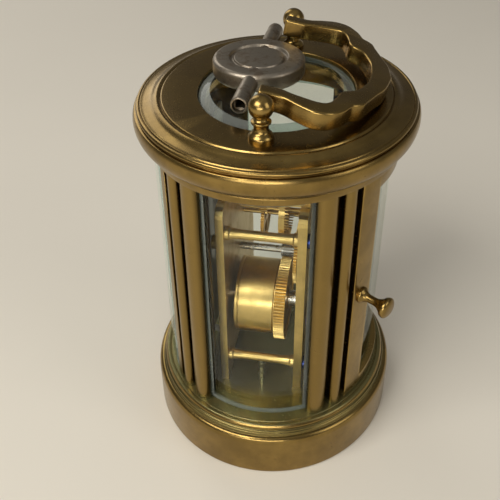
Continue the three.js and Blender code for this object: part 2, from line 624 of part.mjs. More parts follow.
// ---------------------------------------------------------------- movement frame
const pillarX = PLATE_HALF_X - PILLAR_INSET;
const pillarMiddleY = (BACK_INNER + FRONT_INNER) / 2;
const PILLARS = [
  { name: "lower_right", x: pillarX, z: PLATE_Z + PLATE_HEIGHT * 0.082 },
  { name: "lower_left", x: -pillarX, z: PLATE_Z + PLATE_HEIGHT * 0.082 },
  { name: "upper_right", x: pillarX, z: PLATE_Z + PLATE_HEIGHT * 0.85 },
  { name: "upper_left", x: -pillarX, z: PLATE_Z + PLATE_HEIGHT * 0.85 },
];
const MOVEMENT_SCREW_HEAD = 1.5;

function plateOutline() {
  const leg = PLATE_HALF_X / 3;
  const round = 2.5;
  const corner = (side) => steps(0, Math.PI / 2, 4).map((turn) => [
    side * (PLATE_HALF_X - round + round * Math.cos(turn)),
    PLATE_TOP - round + round * Math.sin(turn),
  ]);
  return [
    [PLATE_HALF_X - leg, PLATE_Z], [PLATE_HALF_X - leg, DECK_Z], [PLATE_HALF_X, DECK_Z],
    ...corner(1), ...corner(-1).reverse(),
    [-PLATE_HALF_X, DECK_Z], [leg - PLATE_HALF_X, DECK_Z], [leg - PLATE_HALF_X, PLATE_Z],
  ];
}

const hole = (place, radius, sides = 10) => circle(radius + RUNNING_CLEARANCE, sides, place.x, place.z);

const BARREL_PIVOT = { front: 1.2, rear: SQUARE_SIDE / Math.SQRT2 };
const clickPlace = { x: BARREL.x + 7, z: BARREL.z + 1.6 };

function backPlate() {
  const holes = [
    hole(BARREL, BARREL_PIVOT.rear, 20), hole(CENTRE, ARBOR_RADIUS),
    hole(THIRD, PIVOT_RADIUS), hole(CONTRATE, PIVOT_RADIUS),
    ...PILLARS.map((place) => hole(place, SCREW_RADIUS)),
  ];
  return prismY(plateOutline(), BACK_INNER, BACK_OUTER, holes);
}

function frontPlate() {
  const holes = [
    hole(BARREL, BARREL_PIVOT.front), hole(CENTRE, ARBOR_RADIUS),
    hole(THIRD, PIVOT_RADIUS), hole(CONTRATE, PIVOT_RADIUS),
  ];
  const plate = prismY(plateOutline(), FRONT_OUTER, FRONT_INNER, holes);
  const minuteStud = rodY(ARBOR_RADIUS, FRONT_OUTER - 3.7, FRONT_OUTER + 0.5);
  return plate.add(minuteStud.translate([MINUTE.x, 0, MINUTE.z]));
}

function pillar(place) {
  const length = BACK_INNER - FRONT_INNER;
  const body = latheY([
    [0, 0], [PILLAR_RADIUS, 0], [PILLAR_RADIUS, 0.8], [PILLAR_RADIUS - 0.3, 1.4],
    [PILLAR_RADIUS - 0.3, length - 1.4], [PILLAR_RADIUS, length - 0.8], [PILLAR_RADIUS, length],
    [0, length],
  ], 14).translate([0, FRONT_INNER, 0]);
  const rearHole = rodY(SCREW_RADIUS + RUNNING_CLEARANCE, BACK_INNER - 3.2, BACK_INNER + 1);
  const footHole = rodZ(SCREW_RADIUS + RUNNING_CLEARANCE, -3, 0.5).translate([0, pillarMiddleY, 0]);
  return place.name.startsWith("lower") ? cut(body, rearHole, footHole) : cut(body, rearHole);
}

const plateScrew = () => latheY([
  [0, -BACK_PLATE_THICKNESS - 2.8], [SCREW_RADIUS, -BACK_PLATE_THICKNESS - 2.8], [SCREW_RADIUS, 0.1],
  [1.7, 0.1], [1.7, 0.9], [1.4, 1.1], [0, 1.1],
], 10);

// ---------------------------------------------------------------- barrel and winding work
const greatRadius = pitchRadius(TEETH.great, GREAT_MODULE);
const DRUM_RADIUS = greatRadius - 0.8;
const DRUM_BORE = DRUM_RADIUS - 0.9;
const BARREL_REAR = BACK_INNER - 2.9;
const BARREL_FRONT = FRONT_INNER + 1.1;
const GREAT_WIDTH = 2.5;
const COVER_THICKNESS = 0.8;
const CORE_RADIUS = 2.4;
const ARBOR_NECK = 1.9;

function barrel() {
  const teeth = toothOutline(TEETH.great, GREAT_MODULE, WHEEL_TOOTH, phases.great);
  const band = prismY(teeth, BARREL_REAR - GREAT_WIDTH, BARREL_REAR);
  const drum = rodY(DRUM_RADIUS, BARREL_FRONT, BARREL_REAR - 0.5, 42);
  const hollow = latheY([
    [0, BARREL_FRONT - 1], [DRUM_BORE + 0.4, BARREL_FRONT - 1],
    [DRUM_BORE + 0.4, BARREL_FRONT + COVER_THICKNESS], [DRUM_BORE, BARREL_FRONT + COVER_THICKNESS],
    [DRUM_BORE, BARREL_REAR - 1], [0, BARREL_REAR - 1],
  ], 36);
  const bore = rodY(ARBOR_NECK + RUNNING_CLEARANCE, BARREL_REAR - 3, BARREL_REAR + 1, 20);
  return cut(band.add(drum), hollow, bore);
}

const barrelCover = () => prismY(
  circle(DRUM_BORE + 0.3, 36), BARREL_FRONT, BARREL_FRONT + COVER_THICKNESS - 0.05,
  [circle(ARBOR_NECK + RUNNING_CLEARANCE, 20)],
);

function barrelArbor() {
  const turned = latheY([
    [0, FRONT_OUTER - 0.5], [BARREL_PIVOT.front, FRONT_OUTER - 0.5],
    [BARREL_PIVOT.front, FRONT_INNER + 0.2], [ARBOR_NECK, FRONT_INNER + 0.2],
    [ARBOR_NECK, BARREL_FRONT + COVER_THICKNESS + 0.1],
    [CORE_RADIUS, BARREL_FRONT + COVER_THICKNESS + 0.1], [CORE_RADIUS, BARREL_REAR - 1.1],
    [ARBOR_NECK, BARREL_REAR - 1.1], [ARBOR_NECK, BACK_INNER - 0.2],
    [BARREL_PIVOT.rear, BACK_INNER - 0.2], [BARREL_PIVOT.rear, BACK_OUTER + 0.2],
    [0, BACK_OUTER + 0.2],
  ], 20);
  const half = SQUARE_SIDE / 2;
  return turned.add(box(-half, half, BACK_OUTER, BACK_OUTER + SQUARE_LENGTH, -half, half));
}

// The mainspring is a flat spiral with a free space between its coils.
function mainspring() {
  const turns = 5;
  const thickness = 0.32;
  const innerRadius = CORE_RADIUS + 0.5;
  const outerRadius = DRUM_BORE - 0.5;
  const line = steps(0, 1, turns * 14).map((share) => ({
    turn: share * turns * 2 * Math.PI,
    radius: innerRadius + (outerRadius - innerRadius) * share,
  }));
  const side = (shift) => line.map(({ turn, radius }) =>
    [(radius + shift) * Math.cos(turn), (radius + shift) * Math.sin(turn)]);
  return prismY([...side(thickness / 2), ...side(-thickness / 2).reverse()],
    BARREL_FRONT + COVER_THICKNESS + 0.5, BARREL_REAR - 1.5);
}

const RATCHET_RADIUS = 4;
const RATCHET_LOW = BACK_OUTER + 0.35;
const RATCHET_HIGH = RATCHET_LOW + 1.1;
function ratchetWheel() {
  const pitch = (2 * Math.PI) / TEETH.ratchet;
  const outline = Array.from({ length: TEETH.ratchet }, (_, i) => [
    [RATCHET_RADIUS, i * pitch], [RATCHET_RADIUS - 0.7, (i + 0.12) * pitch],
  ].map(([r, turn]) => [r * Math.cos(turn), r * Math.sin(turn)])).flat();
  const half = SQUARE_SIDE / 2 + RUNNING_CLEARANCE;
  const square = [[half, half], [-half, half], [-half, -half], [half, -half]];
  return prismY(outline, RATCHET_LOW, RATCHET_HIGH, [square]);
}

// The click points back at the ratchet from its own stud.
const CLICK_TIP = { x: -5.75, z: 2.42 };
function click() {
  const outline = [
    [CLICK_TIP.x, CLICK_TIP.z], [-3, 1.9], [-1.2, 0.7], [-1.1, -0.5], [-0.4, -1.2], [0.6, -1.1],
    [1.2, -0.2], [1.1, 0.8], [0.3, 1.5], [-1.4, 2.2], [-3.6, 3], [-5.5, 3.1],
  ];
  const arm = prismY(outline, RATCHET_LOW, RATCHET_HIGH);
  const stud = rodY(0.6, RATCHET_LOW - 0.2, RATCHET_HIGH + 0.5);
  return arm.add(stud);
}

// The click's spring is a bowed leaf that curls over the click from beside its stud.
function clickSpring() {
  const side = (shift) => steps(-0.3, 1.7, 12).map((turn) =>
    [1.6 + (3.4 + shift) * Math.cos(turn), 1.6 + (2.6 + shift) * Math.sin(turn)]);
  return prismY([...side(0.2), ...side(-0.2).reverse()], RATCHET_LOW + 0.2, RATCHET_HIGH - 0.2);
}

// ---------------------------------------------------------------- train
const CENTRE_WHEEL_REAR = BACK_INNER - 1.3;
const HAND_END = DIAL_FRONT - 2.9;

function centreArbor() {
  const turned = latheY([
    [0, HAND_END], [ARBOR_RADIUS, HAND_END], [ARBOR_RADIUS, FRONT_INNER + 0.2],
    [ARBOR_RADIUS + 0.3, FRONT_INNER + 0.2], [ARBOR_RADIUS + 0.3, BACK_INNER - 0.2],
    [ARBOR_RADIUS, BACK_INNER - 0.2], [ARBOR_RADIUS, BACK_OUTER + 0.4], [0, BACK_OUTER + 0.4],
  ], 12);
  const leaves = prismY(
    toothOutline(TEETH.centrePinion, GREAT_MODULE, PINION_LEAF, phases.centrePinion),
    BARREL_REAR - GREAT_WIDTH - 0.4, BARREL_REAR + 0.25);
  const half = SETTING_SQUARE_SIDE / 2;
  const square = box(
    -half, half, BACK_OUTER + 0.3, BACK_OUTER + SETTING_SQUARE_LENGTH, -half, half);
  return union(turned, leaves, square);
}

const centreWheel = () => prismY(
  toothOutline(TEETH.centre, CENTRE_MODULE, WHEEL_TOOTH, phases.centre),
  CENTRE_WHEEL_REAR - WHEEL_THICKNESS, CENTRE_WHEEL_REAR,
  [circle(ARBOR_RADIUS + 0.4, 16),
    ...crossings(4, 2.2, pitchRadius(TEETH.centre, CENTRE_MODULE) - 1.3, 1.1)],
);

// A thin arbor with a pinion on it, from the front plate's pivot to the back plate's.
function arborWithPinion(teeth, module, phase, low, high) {
  const turned = latheY([
    [0, FRONT_OUTER + 0.3], [PIVOT_RADIUS, FRONT_OUTER + 0.3], [PIVOT_RADIUS, FRONT_INNER + 0.2],
    [PIVOT_RADIUS + 0.1, FRONT_INNER + 0.2], [PIVOT_RADIUS + 0.1, BACK_INNER - 0.2],
    [PIVOT_RADIUS, BACK_INNER - 0.2], [PIVOT_RADIUS, BACK_OUTER - 0.3], [0, BACK_OUTER - 0.3],
  ], 12);
  return turned.add(prismY(toothOutline(teeth, module, PINION_LEAF, phase), low, high));
}

const THIRD_WHEEL_FRONT = FRONT_INNER + 5.3;
function thirdWheel() {
  const arbor = arborWithPinion(TEETH.thirdPinion, CENTRE_MODULE, phases.thirdPinion,
    CENTRE_WHEEL_REAR - WHEEL_THICKNESS - 0.4, CENTRE_WHEEL_REAR + 0.4);
  const rim = pitchRadius(TEETH.third, THIRD_MODULE);
  const wheel = prismY(toothOutline(TEETH.third, THIRD_MODULE, WHEEL_TOOTH, phases.third),
    THIRD_WHEEL_FRONT, THIRD_WHEEL_FRONT + WHEEL_THICKNESS, crossings(4, 1.6, rim - 1.2, 1));
  return arbor.add(wheel);
}

const CROWN_WIDTH = 0.8;
const CROWN_FRONT = BACK_INNER - 6;
const CROWN_ROOT = CROWN_FRONT + 1.4;
const CROWN_TIP = CROWN_ROOT + 1;
const CROWN_MESH_RADIUS = CONTRATE_RADIUS;
const crownPitch = (2 * Math.PI * CROWN_MESH_RADIUS) / TEETH.contrate;
const ESCAPE_PINION_MODULE = crownPitch / Math.PI;
const ESCAPE_Y = CROWN_TIP - 0.1 + pitchRadius(TEETH.escapePinion, ESCAPE_PINION_MODULE);

function contrateWheel() {
  const arbor = arborWithPinion(TEETH.contratePinion, THIRD_MODULE, phases.contratePinion,
    THIRD_WHEEL_FRONT - 0.6, THIRD_WHEEL_FRONT + WHEEL_THICKNESS + 0.6);
  const inner = CROWN_MESH_RADIUS - CROWN_WIDTH / 2;
  const outer = CROWN_MESH_RADIUS + CROWN_WIDTH / 2;
  const web = prismY(circle(inner + 0.2, 25), CROWN_FRONT, CROWN_FRONT + 0.6,
    crossings(3, 1.4, inner - 0.4, 0.9));
  const rim = prismY(circle(outer, 25), CROWN_FRONT, CROWN_ROOT, [circle(inner, 25)]);
  const tooth = (index) => {
    const low = 0.2 * crownPitch;
    const high = 0.07 * crownPitch;
    const height = CROWN_TIP - CROWN_ROOT;
    const wedge = prismZ([[-low, -0.1], [low, -0.1], [high, height], [-high, height]],
      inner + 0.15, outer - 0.15);
    const turn = (360 * index) / TEETH.contrate;
    return wedge.translate([0, CROWN_ROOT, 0]).rotate([0, turn, 0]);
  };
  return union(arbor, web, rim, ...Array.from({ length: TEETH.contrate }, (_, i) => tooth(i)));
}

// ---------------------------------------------------------------- platform escapement
const PLATFORM_LOW = PLATE_TOP;
const PLATFORM_TOP = PLATFORM_LOW + PLATFORM_THICKNESS;
const ESCAPE_WHEEL_Z = PLATFORM_TOP + 1.3;
const ESCAPE_TO_LEVER = 3.9;
const LEVER_TO_BALANCE = 4.3;
const LEVER_Y = ESCAPE_Y - ESCAPE_TO_LEVER;
const BALANCE_Y = LEVER_Y - LEVER_TO_BALANCE;
const BALANCE_Z = PLATFORM_TOP + 3.3;
const COCK_Z = PLATFORM_TOP + 5.4;
const COCK_THICKNESS = 1;
const ESCAPE_COCK_Z = PLATFORM_TOP + 2.2;
const STAFF_RADIUS = 0.3;
const POTENCE_LOW = CONTRATE.z + CONTRATE_RADIUS - 2.7;

const platformHalf = PLATE_HALF_X * 0.78;
const platform = () => cut(
  box(-platformHalf, platformHalf, FRONT_OUTER, BACK_OUTER, PLATFORM_LOW, PLATFORM_TOP),
  rodZ(0.7, 0, 200).translate([0, ESCAPE_Y, 0]),
  rodZ(STAFF_RADIUS + RUNNING_CLEARANCE, PLATFORM_LOW + 0.5, 200).translate([0, LEVER_Y, 0]),
  rodZ(STAFF_RADIUS + RUNNING_CLEARANCE, PLATFORM_LOW + 0.5, 200).translate([0, BALANCE_Y, 0]),
);

const escapePotence = () => cut(
  box(-1.6, 1.6, ESCAPE_Y - 1.1, BACK_INNER, POTENCE_LOW, POTENCE_LOW + 1),
  rodZ(STAFF_RADIUS + RUNNING_CLEARANCE, POTENCE_LOW + 0.3, POTENCE_LOW + 2)
    .translate([0, ESCAPE_Y, 0]),
);

function escapeWheel() {
  const leafForm = { valley: [-0.85, -0.15], tip: 0.12, above: 0.75, below: 1.3 };
  const meshZ = CONTRATE.z + CROWN_MESH_RADIUS;
  const arbor = latheZ([
    [0, POTENCE_LOW + 0.4], [STAFF_RADIUS, POTENCE_LOW + 0.4],
    [STAFF_RADIUS, ESCAPE_COCK_Z + 0.5], [0, ESCAPE_COCK_Z + 0.5],
  ], 12);
  const leaves = prismZ(
    toothOutline(TEETH.escapePinion, ESCAPE_PINION_MODULE, leafForm),
    meshZ - 1, meshZ + 0.7);
  const hub = rodZ(0.8, ESCAPE_WHEEL_Z - 0.3, ESCAPE_WHEEL_Z + 0.55);
  const pitch = (2 * Math.PI) / TEETH.escape;
  const outline = Array.from({ length: TEETH.escape }, (_, i) => [
    [ESCAPE_RADIUS, i * pitch], [ESCAPE_RADIUS, (i + 0.1) * pitch],
    [ESCAPE_RADIUS - 0.75, (i + 0.42) * pitch], [ESCAPE_RADIUS - 0.75, (i + 0.85) * pitch],
  ].map(([r, turn]) => [r * Math.cos(turn), r * Math.sin(turn)])).flat();
  const wheel = prismZ(outline, ESCAPE_WHEEL_Z, ESCAPE_WHEEL_Z + 0.3,
    crossings(4, 0.7, ESCAPE_RADIUS - 1.15, 0.45));
  return union(arbor, leaves, hub, wheel);
}

function lever() {
  const pallet = (side) => [
    [side * 0.5, 0.35], [side * 2.25, 0.95], [side * 2.45, 1.35], [side * 2.15, 1.42],
    [side * 1.9, 1.28], [side * 0.45, 0.75],
  ];
  const outline = [
    [-0.28, -0.4], [-0.25, -2.7], [-0.5, -3.05], [-0.45, -3.45], [-0.22, -3.4], [-0.22, -3.1],
    [0.22, -3.1], [0.22, -3.4], [0.45, -3.45], [0.5, -3.05], [0.25, -2.7], [0.28, -0.4],
    ...pallet(1), ...pallet(-1).reverse(),
  ];
  const low = PLATFORM_TOP + 1.2;
  const arbor = rodZ(0.25, PLATFORM_TOP - 0.5, ESCAPE_COCK_Z + 0.5);
  return prismZ(outline, low, low + 0.5).add(arbor);
}

function escapeCock() {
  const arm = box(-1.3, 1.3, LEVER_Y - 0.9, BACK_OUTER - 0.2, ESCAPE_COCK_Z, ESCAPE_COCK_Z + 0.7);
  const foot = box(-1.3, 1.3, ESCAPE_Y + ESCAPE_RADIUS + 0.25, BACK_OUTER - 0.2,
    PLATFORM_TOP, ESCAPE_COCK_Z + 0.1);
  const pivots = [ESCAPE_Y, LEVER_Y].map((y) =>
    rodZ(STAFF_RADIUS + RUNNING_CLEARANCE, ESCAPE_COCK_Z - 1, ESCAPE_COCK_Z + 2).translate([0, y, 0]));
  return cut(arm.add(foot), ...pivots);
}

function balanceWheel() {
  const rimWidth = 0.85;
  const ring = prismZ(circle(BALANCE_RADIUS, 30), BALANCE_Z, BALANCE_Z + 0.8,
    [circle(BALANCE_RADIUS - rimWidth, 30)]);
  const armReach = BALANCE_RADIUS - rimWidth / 2;
  const arm = box(-armReach, armReach, -0.35, 0.35, BALANCE_Z + 0.2, BALANCE_Z + 0.6);
  const hub = rodZ(0.8, BALANCE_Z - 0.2, BALANCE_Z + 1);
  const staff = rodZ(STAFF_RADIUS, PLATFORM_LOW + 0.7, COCK_Z + 0.6);
  const roller = rodZ(1.1, PLATFORM_TOP + 2.2, PLATFORM_TOP + 2.6, 16);
  const impulsePin = rodZ(0.14, PLATFORM_TOP + 1.85, PLATFORM_TOP + 2.3, 8).translate([0, 0.8, 0]);
  return union(ring, arm, hub, staff, roller, impulsePin);
}

function hairspring() {
  const turns = 4;
  const line = steps(0, 1, turns * 12).map((share) => ({
    turn: share * turns * 2 * Math.PI, radius: 1 + 2.2 * share,
  }));
  const side = (shift) => line.map(({ turn, radius }) =>
    [(radius + shift) * Math.cos(turn), (radius + shift) * Math.sin(turn)]);
  return prismZ([...side(0.06), ...side(-0.06).reverse()], BALANCE_Z + 1.25, BALANCE_Z + 1.55);
}

function balanceCock() {
  const rear = BALANCE_Y + 1.4;
  const footRear = BALANCE_Y - BALANCE_RADIUS - 0.25;
  const front = FRONT_OUTER + 0.1;
  const arm = union(
    box(-1.6, 1.6, front, BALANCE_Y, COCK_Z, COCK_Z + COCK_THICKNESS),
    rodZ(rear - BALANCE_Y + 0.4, COCK_Z, COCK_Z + COCK_THICKNESS, 20).translate([0, BALANCE_Y, 0]),
  );
  const foot = box(-1.6, 1.6, front, footRear, PLATFORM_TOP, COCK_Z + 0.1);
  const pivot = rodZ(STAFF_RADIUS + RUNNING_CLEARANCE, COCK_Z - 1, COCK_Z + 0.7)
    .translate([0, BALANCE_Y, 0]);
  return cut(arm.add(foot), pivot);
}

// ---------------------------------------------------------------- motion work, dial and hands
const CANNON_REAR = FRONT_OUTER - 0.5;
const MINUTE_WHEEL_REAR = FRONT_OUTER - 0.6;
const HOUR_WHEEL_REAR = FRONT_OUTER - 2.5;
const HOUR_HAND_FRONT = DIAL_FRONT - 1.3;
const MINUTE_HAND_FRONT = DIAL_FRONT - 2.5;
const HAND_THICKNESS = 0.4;
const CANNON_PIPE = 1;
const HOUR_PIPE = 1.7;

function cannonPinion() {
  const leaves = prismY(toothOutline(TEETH.cannon, CANNON_MODULE, PINION_LEAF, phases.cannon),
    CANNON_REAR - 1.4, CANNON_REAR);
  const pipe = rodY(CANNON_PIPE, MINUTE_HAND_FRONT - 0.1, CANNON_REAR - 1, 16);
  const bore = rodY(ARBOR_RADIUS + RUNNING_CLEARANCE, HAND_END - 1, CANNON_REAR + 1, 12);
  return cut(leaves.add(pipe), bore);
}

function minuteWheel() {
  const bore = circle(ARBOR_RADIUS + RUNNING_CLEARANCE, 12);
  const wheel = prismY(toothOutline(TEETH.minute, CANNON_MODULE, WHEEL_TOOTH, phases.minute),
    MINUTE_WHEEL_REAR - 1, MINUTE_WHEEL_REAR, [bore]);
  const leaves = prismY(
    toothOutline(TEETH.minutePinion, HOUR_MODULE, PINION_LEAF, phases.minutePinion),
    HOUR_WHEEL_REAR - 1, MINUTE_WHEEL_REAR - 0.9, [bore]);
  return wheel.add(leaves);
}

function hourWheel() {
  const bore = circle(CANNON_PIPE + RUNNING_CLEARANCE, 16);
  const wheel = prismY(toothOutline(TEETH.hour, HOUR_MODULE, WHEEL_TOOTH, phases.hour),
    HOUR_WHEEL_REAR - 0.8, HOUR_WHEEL_REAR, [bore]);
  const pipe = prismY(circle(HOUR_PIPE, 20), HOUR_HAND_FRONT - 0.05, HOUR_WHEEL_REAR - 0.7, [bore]);
  return wheel.add(pipe);
}

// A leaf-shaped hand that points up from its boss.
function hand(length, boss, bore, leaf, front) {
  const blade = [
    [0.3, boss * 0.8], [0.28, length * 0.5], [leaf, length * 0.66], [leaf * 0.7, length * 0.78],
    [0.12, length * 0.88], [0.06, length], [-0.06, length], [-0.12, length * 0.88],
    [-leaf * 0.7, length * 0.78], [-leaf, length * 0.66], [-0.28, length * 0.5], [-0.3, boss * 0.8],
  ];
  const arm = prismY(blade, front, front + HAND_THICKNESS);
  const eye = prismY(circle(boss, 20), front, front + HAND_THICKNESS);
  return cut(arm.add(eye), rodY(bore, front - 1, front + 1, 20));
}

function dial() {
  const wall = CASE_HALF_Y - PILASTER_DEPTH;
  const half = (CASE_HALF_X - PILASTER_DEPTH) * Math.sqrt(1 - (DIAL_FRONT / wall) ** 2) - 1;
  const low = DECK_Z + 2.5;
  const high = CORNICE_Z - 2.5;
  const plate = prismY([[half, low], [half, high], [-half, high], [-half, low]],
    DIAL_FRONT, DIAL_BACK, [hole(CENTRE, HOUR_PIPE + 0.2, 20)]);
  const feet = [[-0.72, 0.16], [0.72, 0.16], [0, 0.93]].map(([across, up]) =>
    rodY(0.8, DIAL_BACK - 0.1, FRONT_OUTER)
      .translate([across * half, 0, PLATE_Z + up * PLATE_HEIGHT]));
  return union(plate, ...feet);
}

// ---------------------------------------------------------------- put together: case
add("base", base(), BRASS());
add("cornice", cornice(), BRASS());
add("top_glass", topGlass(), GLASS());
for (const quarter of QUARTERS) {
  add("pilaster_" + quarter.name, pilaster(quarter), BRASS());
  const [x, y] = caseScrewPlace(quarter);
  const screw = screwUp(SCREW_RADIUS, 2.1, 1.4, DECK_THICKNESS + CASE_SCREW_DEPTH);
  add("case_screw_" + quarter.name, screw, STEEL(), x, y, DECK_Z - DECK_THICKNESS);
}
add("door_frame", doorFrame(), BRASS());
add("door_glass", doorGlass(), GLASS());
add("door_knob", knobShape(SCREW_RADIUS, KNOB_LENGTH, KNOB_RADIUS), BRASS());
const hingePin = () => rodZ(HINGE_PIN_RADIUS, 0.1 - HINGE_PIN_REACH, HINGE_PIN_REACH);
add("hinge_pin_lower", hingePin(), STEEL(), HINGE_X, HINGE_Y, DECK_Z);
add("hinge_pin_upper", hingePin().mirror([0, 0, 1]), STEEL(), HINGE_X, HINGE_Y, CORNICE_Z);
add("handle_post_right", post(1), BRASS(), POST_X, POST_Y, TOP_Z);
add("handle_post_left", post(-1), BRASS(), -POST_X, POST_Y, TOP_Z);
add("handle", handle(), BRASS(), 0, POST_Y, BALL_Z).rotation.x = -HANDLE_TILT;
const KEY_CLEARANCE = 0.1;
const keyZ = TOP_Z + TOP_GLASS_STAND + KEY_CLEARANCE + KEY_BOW_THICKNESS / 2;
add("winding_key", key(), KEY_STEEL(), KEY_PLACE[0], KEY_PLACE[1], keyZ).rotation.z = KEY_TURN;

// ---------------------------------------------------------------- put together: movement
add("back_plate", backPlate(), PALE_BRASS());
add("front_plate", frontPlate(), PALE_BRASS());
for (const place of PILLARS) {
  add("pillar_" + place.name, pillar(place), PALE_BRASS(), place.x, 0, place.z);
  add("plate_screw_" + place.name, plateScrew(), BLUE_STEEL(), place.x, BACK_OUTER, place.z);
}
for (const [name, side] of [["right", 1], ["left", -1]]) {
  const deckUnder = DECK_Z - DECK_THICKNESS;
  const screw = screwUp(SCREW_RADIUS, 2.1, MOVEMENT_SCREW_HEAD, PILLARS[0].z - deckUnder);
  add("movement_screw_" + name, screw, STEEL(), side * pillarX, pillarMiddleY, deckUnder);
}
add("barrel", barrel(), PALE_BRASS(), BARREL.x, 0, BARREL.z);
add("barrel_cover", barrelCover(), PALE_BRASS(), BARREL.x, 0, BARREL.z);
add("mainspring", mainspring(), BLUE_STEEL(), BARREL.x, 0, BARREL.z);
add("barrel_arbor", barrelArbor(), STEEL(), BARREL.x, 0, BARREL.z);
add("ratchet_wheel", ratchetWheel(), STEEL(), BARREL.x, 0, BARREL.z);
add("click", click(), STEEL(), clickPlace.x, 0, clickPlace.z);
add("click_spring", clickSpring(), BLUE_STEEL(), clickPlace.x, 0, clickPlace.z);
add("centre_arbor", centreArbor(), STEEL(), CENTRE.x, 0, CENTRE.z);
add("centre_wheel", centreWheel(), PALE_BRASS(), CENTRE.x, 0, CENTRE.z);
add("third_wheel", thirdWheel(), PALE_BRASS(), THIRD.x, 0, THIRD.z);
add("contrate_wheel", contrateWheel(), PALE_BRASS(), CONTRATE.x, 0, CONTRATE.z);
add("cannon_pinion", cannonPinion(), STEEL(), CENTRE.x, 0, CENTRE.z);
add("minute_wheel", minuteWheel(), PALE_BRASS(), MINUTE.x, 0, MINUTE.z);
add("hour_wheel", hourWheel(), PALE_BRASS(), CENTRE.x, 0, CENTRE.z);

add("platform", platform(), PALE_BRASS());
add("escape_potence", escapePotence(), PALE_BRASS());
add("escape_wheel", escapeWheel(), STEEL(), 0, ESCAPE_Y, 0);
add("escape_cock", escapeCock(), PALE_BRASS());
add("lever", lever(), STEEL(), 0, LEVER_Y, 0);
add("balance_wheel", balanceWheel(), PALE_BRASS(), 0, BALANCE_Y, 0);
add("hairspring", hairspring(), BLUE_STEEL(), 0, BALANCE_Y, 0);
add("balance_cock", balanceCock(), PALE_BRASS());

add("dial", dial(), ENAMEL());
add("hour_hand", hand(HOUR_HAND_LENGTH, 2.3, HOUR_PIPE + 0.05, 0.9, HOUR_HAND_FRONT), BLUE_STEEL(),
  CENTRE.x, 0, CENTRE.z);
add("minute_hand", hand(MINUTE_HAND_LENGTH, 1.6, CANNON_PIPE + 0.05, 0.7, MINUTE_HAND_FRONT),
  BLUE_STEEL(), CENTRE.x, 0, CENTRE.z);

export default clock;
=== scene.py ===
"""Builds the oval carriage clock's finished pieces, finishes and studio round its fixed frame."""
import math

import bmesh
import bpy
from mathutils import Matrix, Vector


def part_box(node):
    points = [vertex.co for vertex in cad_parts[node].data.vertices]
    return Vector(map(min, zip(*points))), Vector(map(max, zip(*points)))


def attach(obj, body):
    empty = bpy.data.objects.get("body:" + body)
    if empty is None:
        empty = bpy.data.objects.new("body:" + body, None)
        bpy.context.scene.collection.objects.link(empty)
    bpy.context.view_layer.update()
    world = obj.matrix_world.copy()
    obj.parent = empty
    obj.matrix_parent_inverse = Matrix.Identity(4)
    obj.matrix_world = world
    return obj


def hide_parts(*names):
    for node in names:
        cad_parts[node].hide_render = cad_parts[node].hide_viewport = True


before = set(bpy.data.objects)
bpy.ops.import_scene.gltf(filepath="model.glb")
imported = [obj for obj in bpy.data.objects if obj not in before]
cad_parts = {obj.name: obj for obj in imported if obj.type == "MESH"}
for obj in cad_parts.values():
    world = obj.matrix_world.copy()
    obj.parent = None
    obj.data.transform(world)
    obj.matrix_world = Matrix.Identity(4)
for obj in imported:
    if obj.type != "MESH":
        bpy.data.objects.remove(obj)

bl_info = {
    "name": "Oval carriage clock",
    "version": (1, 0, 0),
    "blender": (4, 5, 0),
    "location": "View3D > Sidebar > Carriage clock",
    "description": "Builds a small oval brass carriage clock with bowed glass and a folding handle",
    "category": "Object",
}

# ------------------------------------------------------------------ the frame, in millimetres
MM = 0.001
FULL_TURN = 2 * math.pi
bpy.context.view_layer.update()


def box_of(node):
    """A node's lowest and highest corners in millimetres."""
    low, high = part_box(node)
    return low / MM, high / MM


def middle_of(node):
    """The middle of a node's box in millimetres."""
    low, high = box_of(node)
    return (low + high) / 2


BASE_SPREAD = 3.6
BASE_HIGH = box_of("base")[1]
CORNICE_LOW, CORNICE_HIGH = box_of("cornice")
HALF_X = BASE_HIGH.x - BASE_SPREAD
HALF_Y = BASE_HIGH.y - BASE_SPREAD
MEAN_RADIUS = (HALF_X + HALF_Y) / 2
DECK = BASE_HIGH.z
WINDOW_TOP = CORNICE_LOW.z
TOP = CORNICE_HIGH.z

SIDE_WINDOW_TURN = 0.48
WIDE_REED_TURN = 0.178
REED_GROOVE_TURN = 0.047
NARROW_REED_TURN = 0.12
PILASTER_TURN = 0.855
FRONT_STRIP_TURN = 0.07
FRONT_STRIP_INSET = 0.3
PILASTER_DEPTH = 5
REED_GROOVE_DEPTH = 2.6
SLOT_LIP_TURN = 0.012
SHELF_TURN = 0.04
TOP_PLATE_THICKNESS = 3.3

GLASS_THICKNESS = 1.8
GLASS_CLEARANCE = 0.12
SIDE_GLASS_INSET = 2.2
SIDE_GLASS_SEAT_TURN = 0.035
FRONT_GLASS_INSET = 0.4
FRONT_GLASS_GAP_TURN = 0.005
GROUND_DEPTH = 0.45
TOP_GLASS_INSET = 10.6
TOP_GLASS_LEDGE = 1.5
TOP_GLASS_RIM = 1.1
TOP_GLASS_BEVEL = 2.5

DOOR_INSET = 0.3
DOOR_THICKNESS = 3
DOOR_GAP = 0.35
DOOR_STILE_TURN = 0.21
DOOR_RAIL = 3.4
DOOR_GLASS_THICKNESS = 1.3
DOOR_GLASS_INSET = 0.3
KNOB_LENGTH = 7.6
KNOB_RADIUS = 2.5

RIGHT_POST_HIGH = box_of("handle_post_right")[1]
COLLAR_RADIUS = 2.5
BALL_RADIUS = 2.45
POST_X = RIGHT_POST_HIGH.x - COLLAR_RADIUS
POST_Y = RIGHT_POST_HIGH.y - COLLAR_RADIUS
BALL_Z = RIGHT_POST_HIGH.z - BALL_RADIUS
HANDLE_PIN_RADIUS = 0.7
HANDLE_PIN_REACH = 3.1
HANDLE_CLEARANCE = 0.08
HANDLE_REACH = 23.4
HANDLE_TILT = -10.5

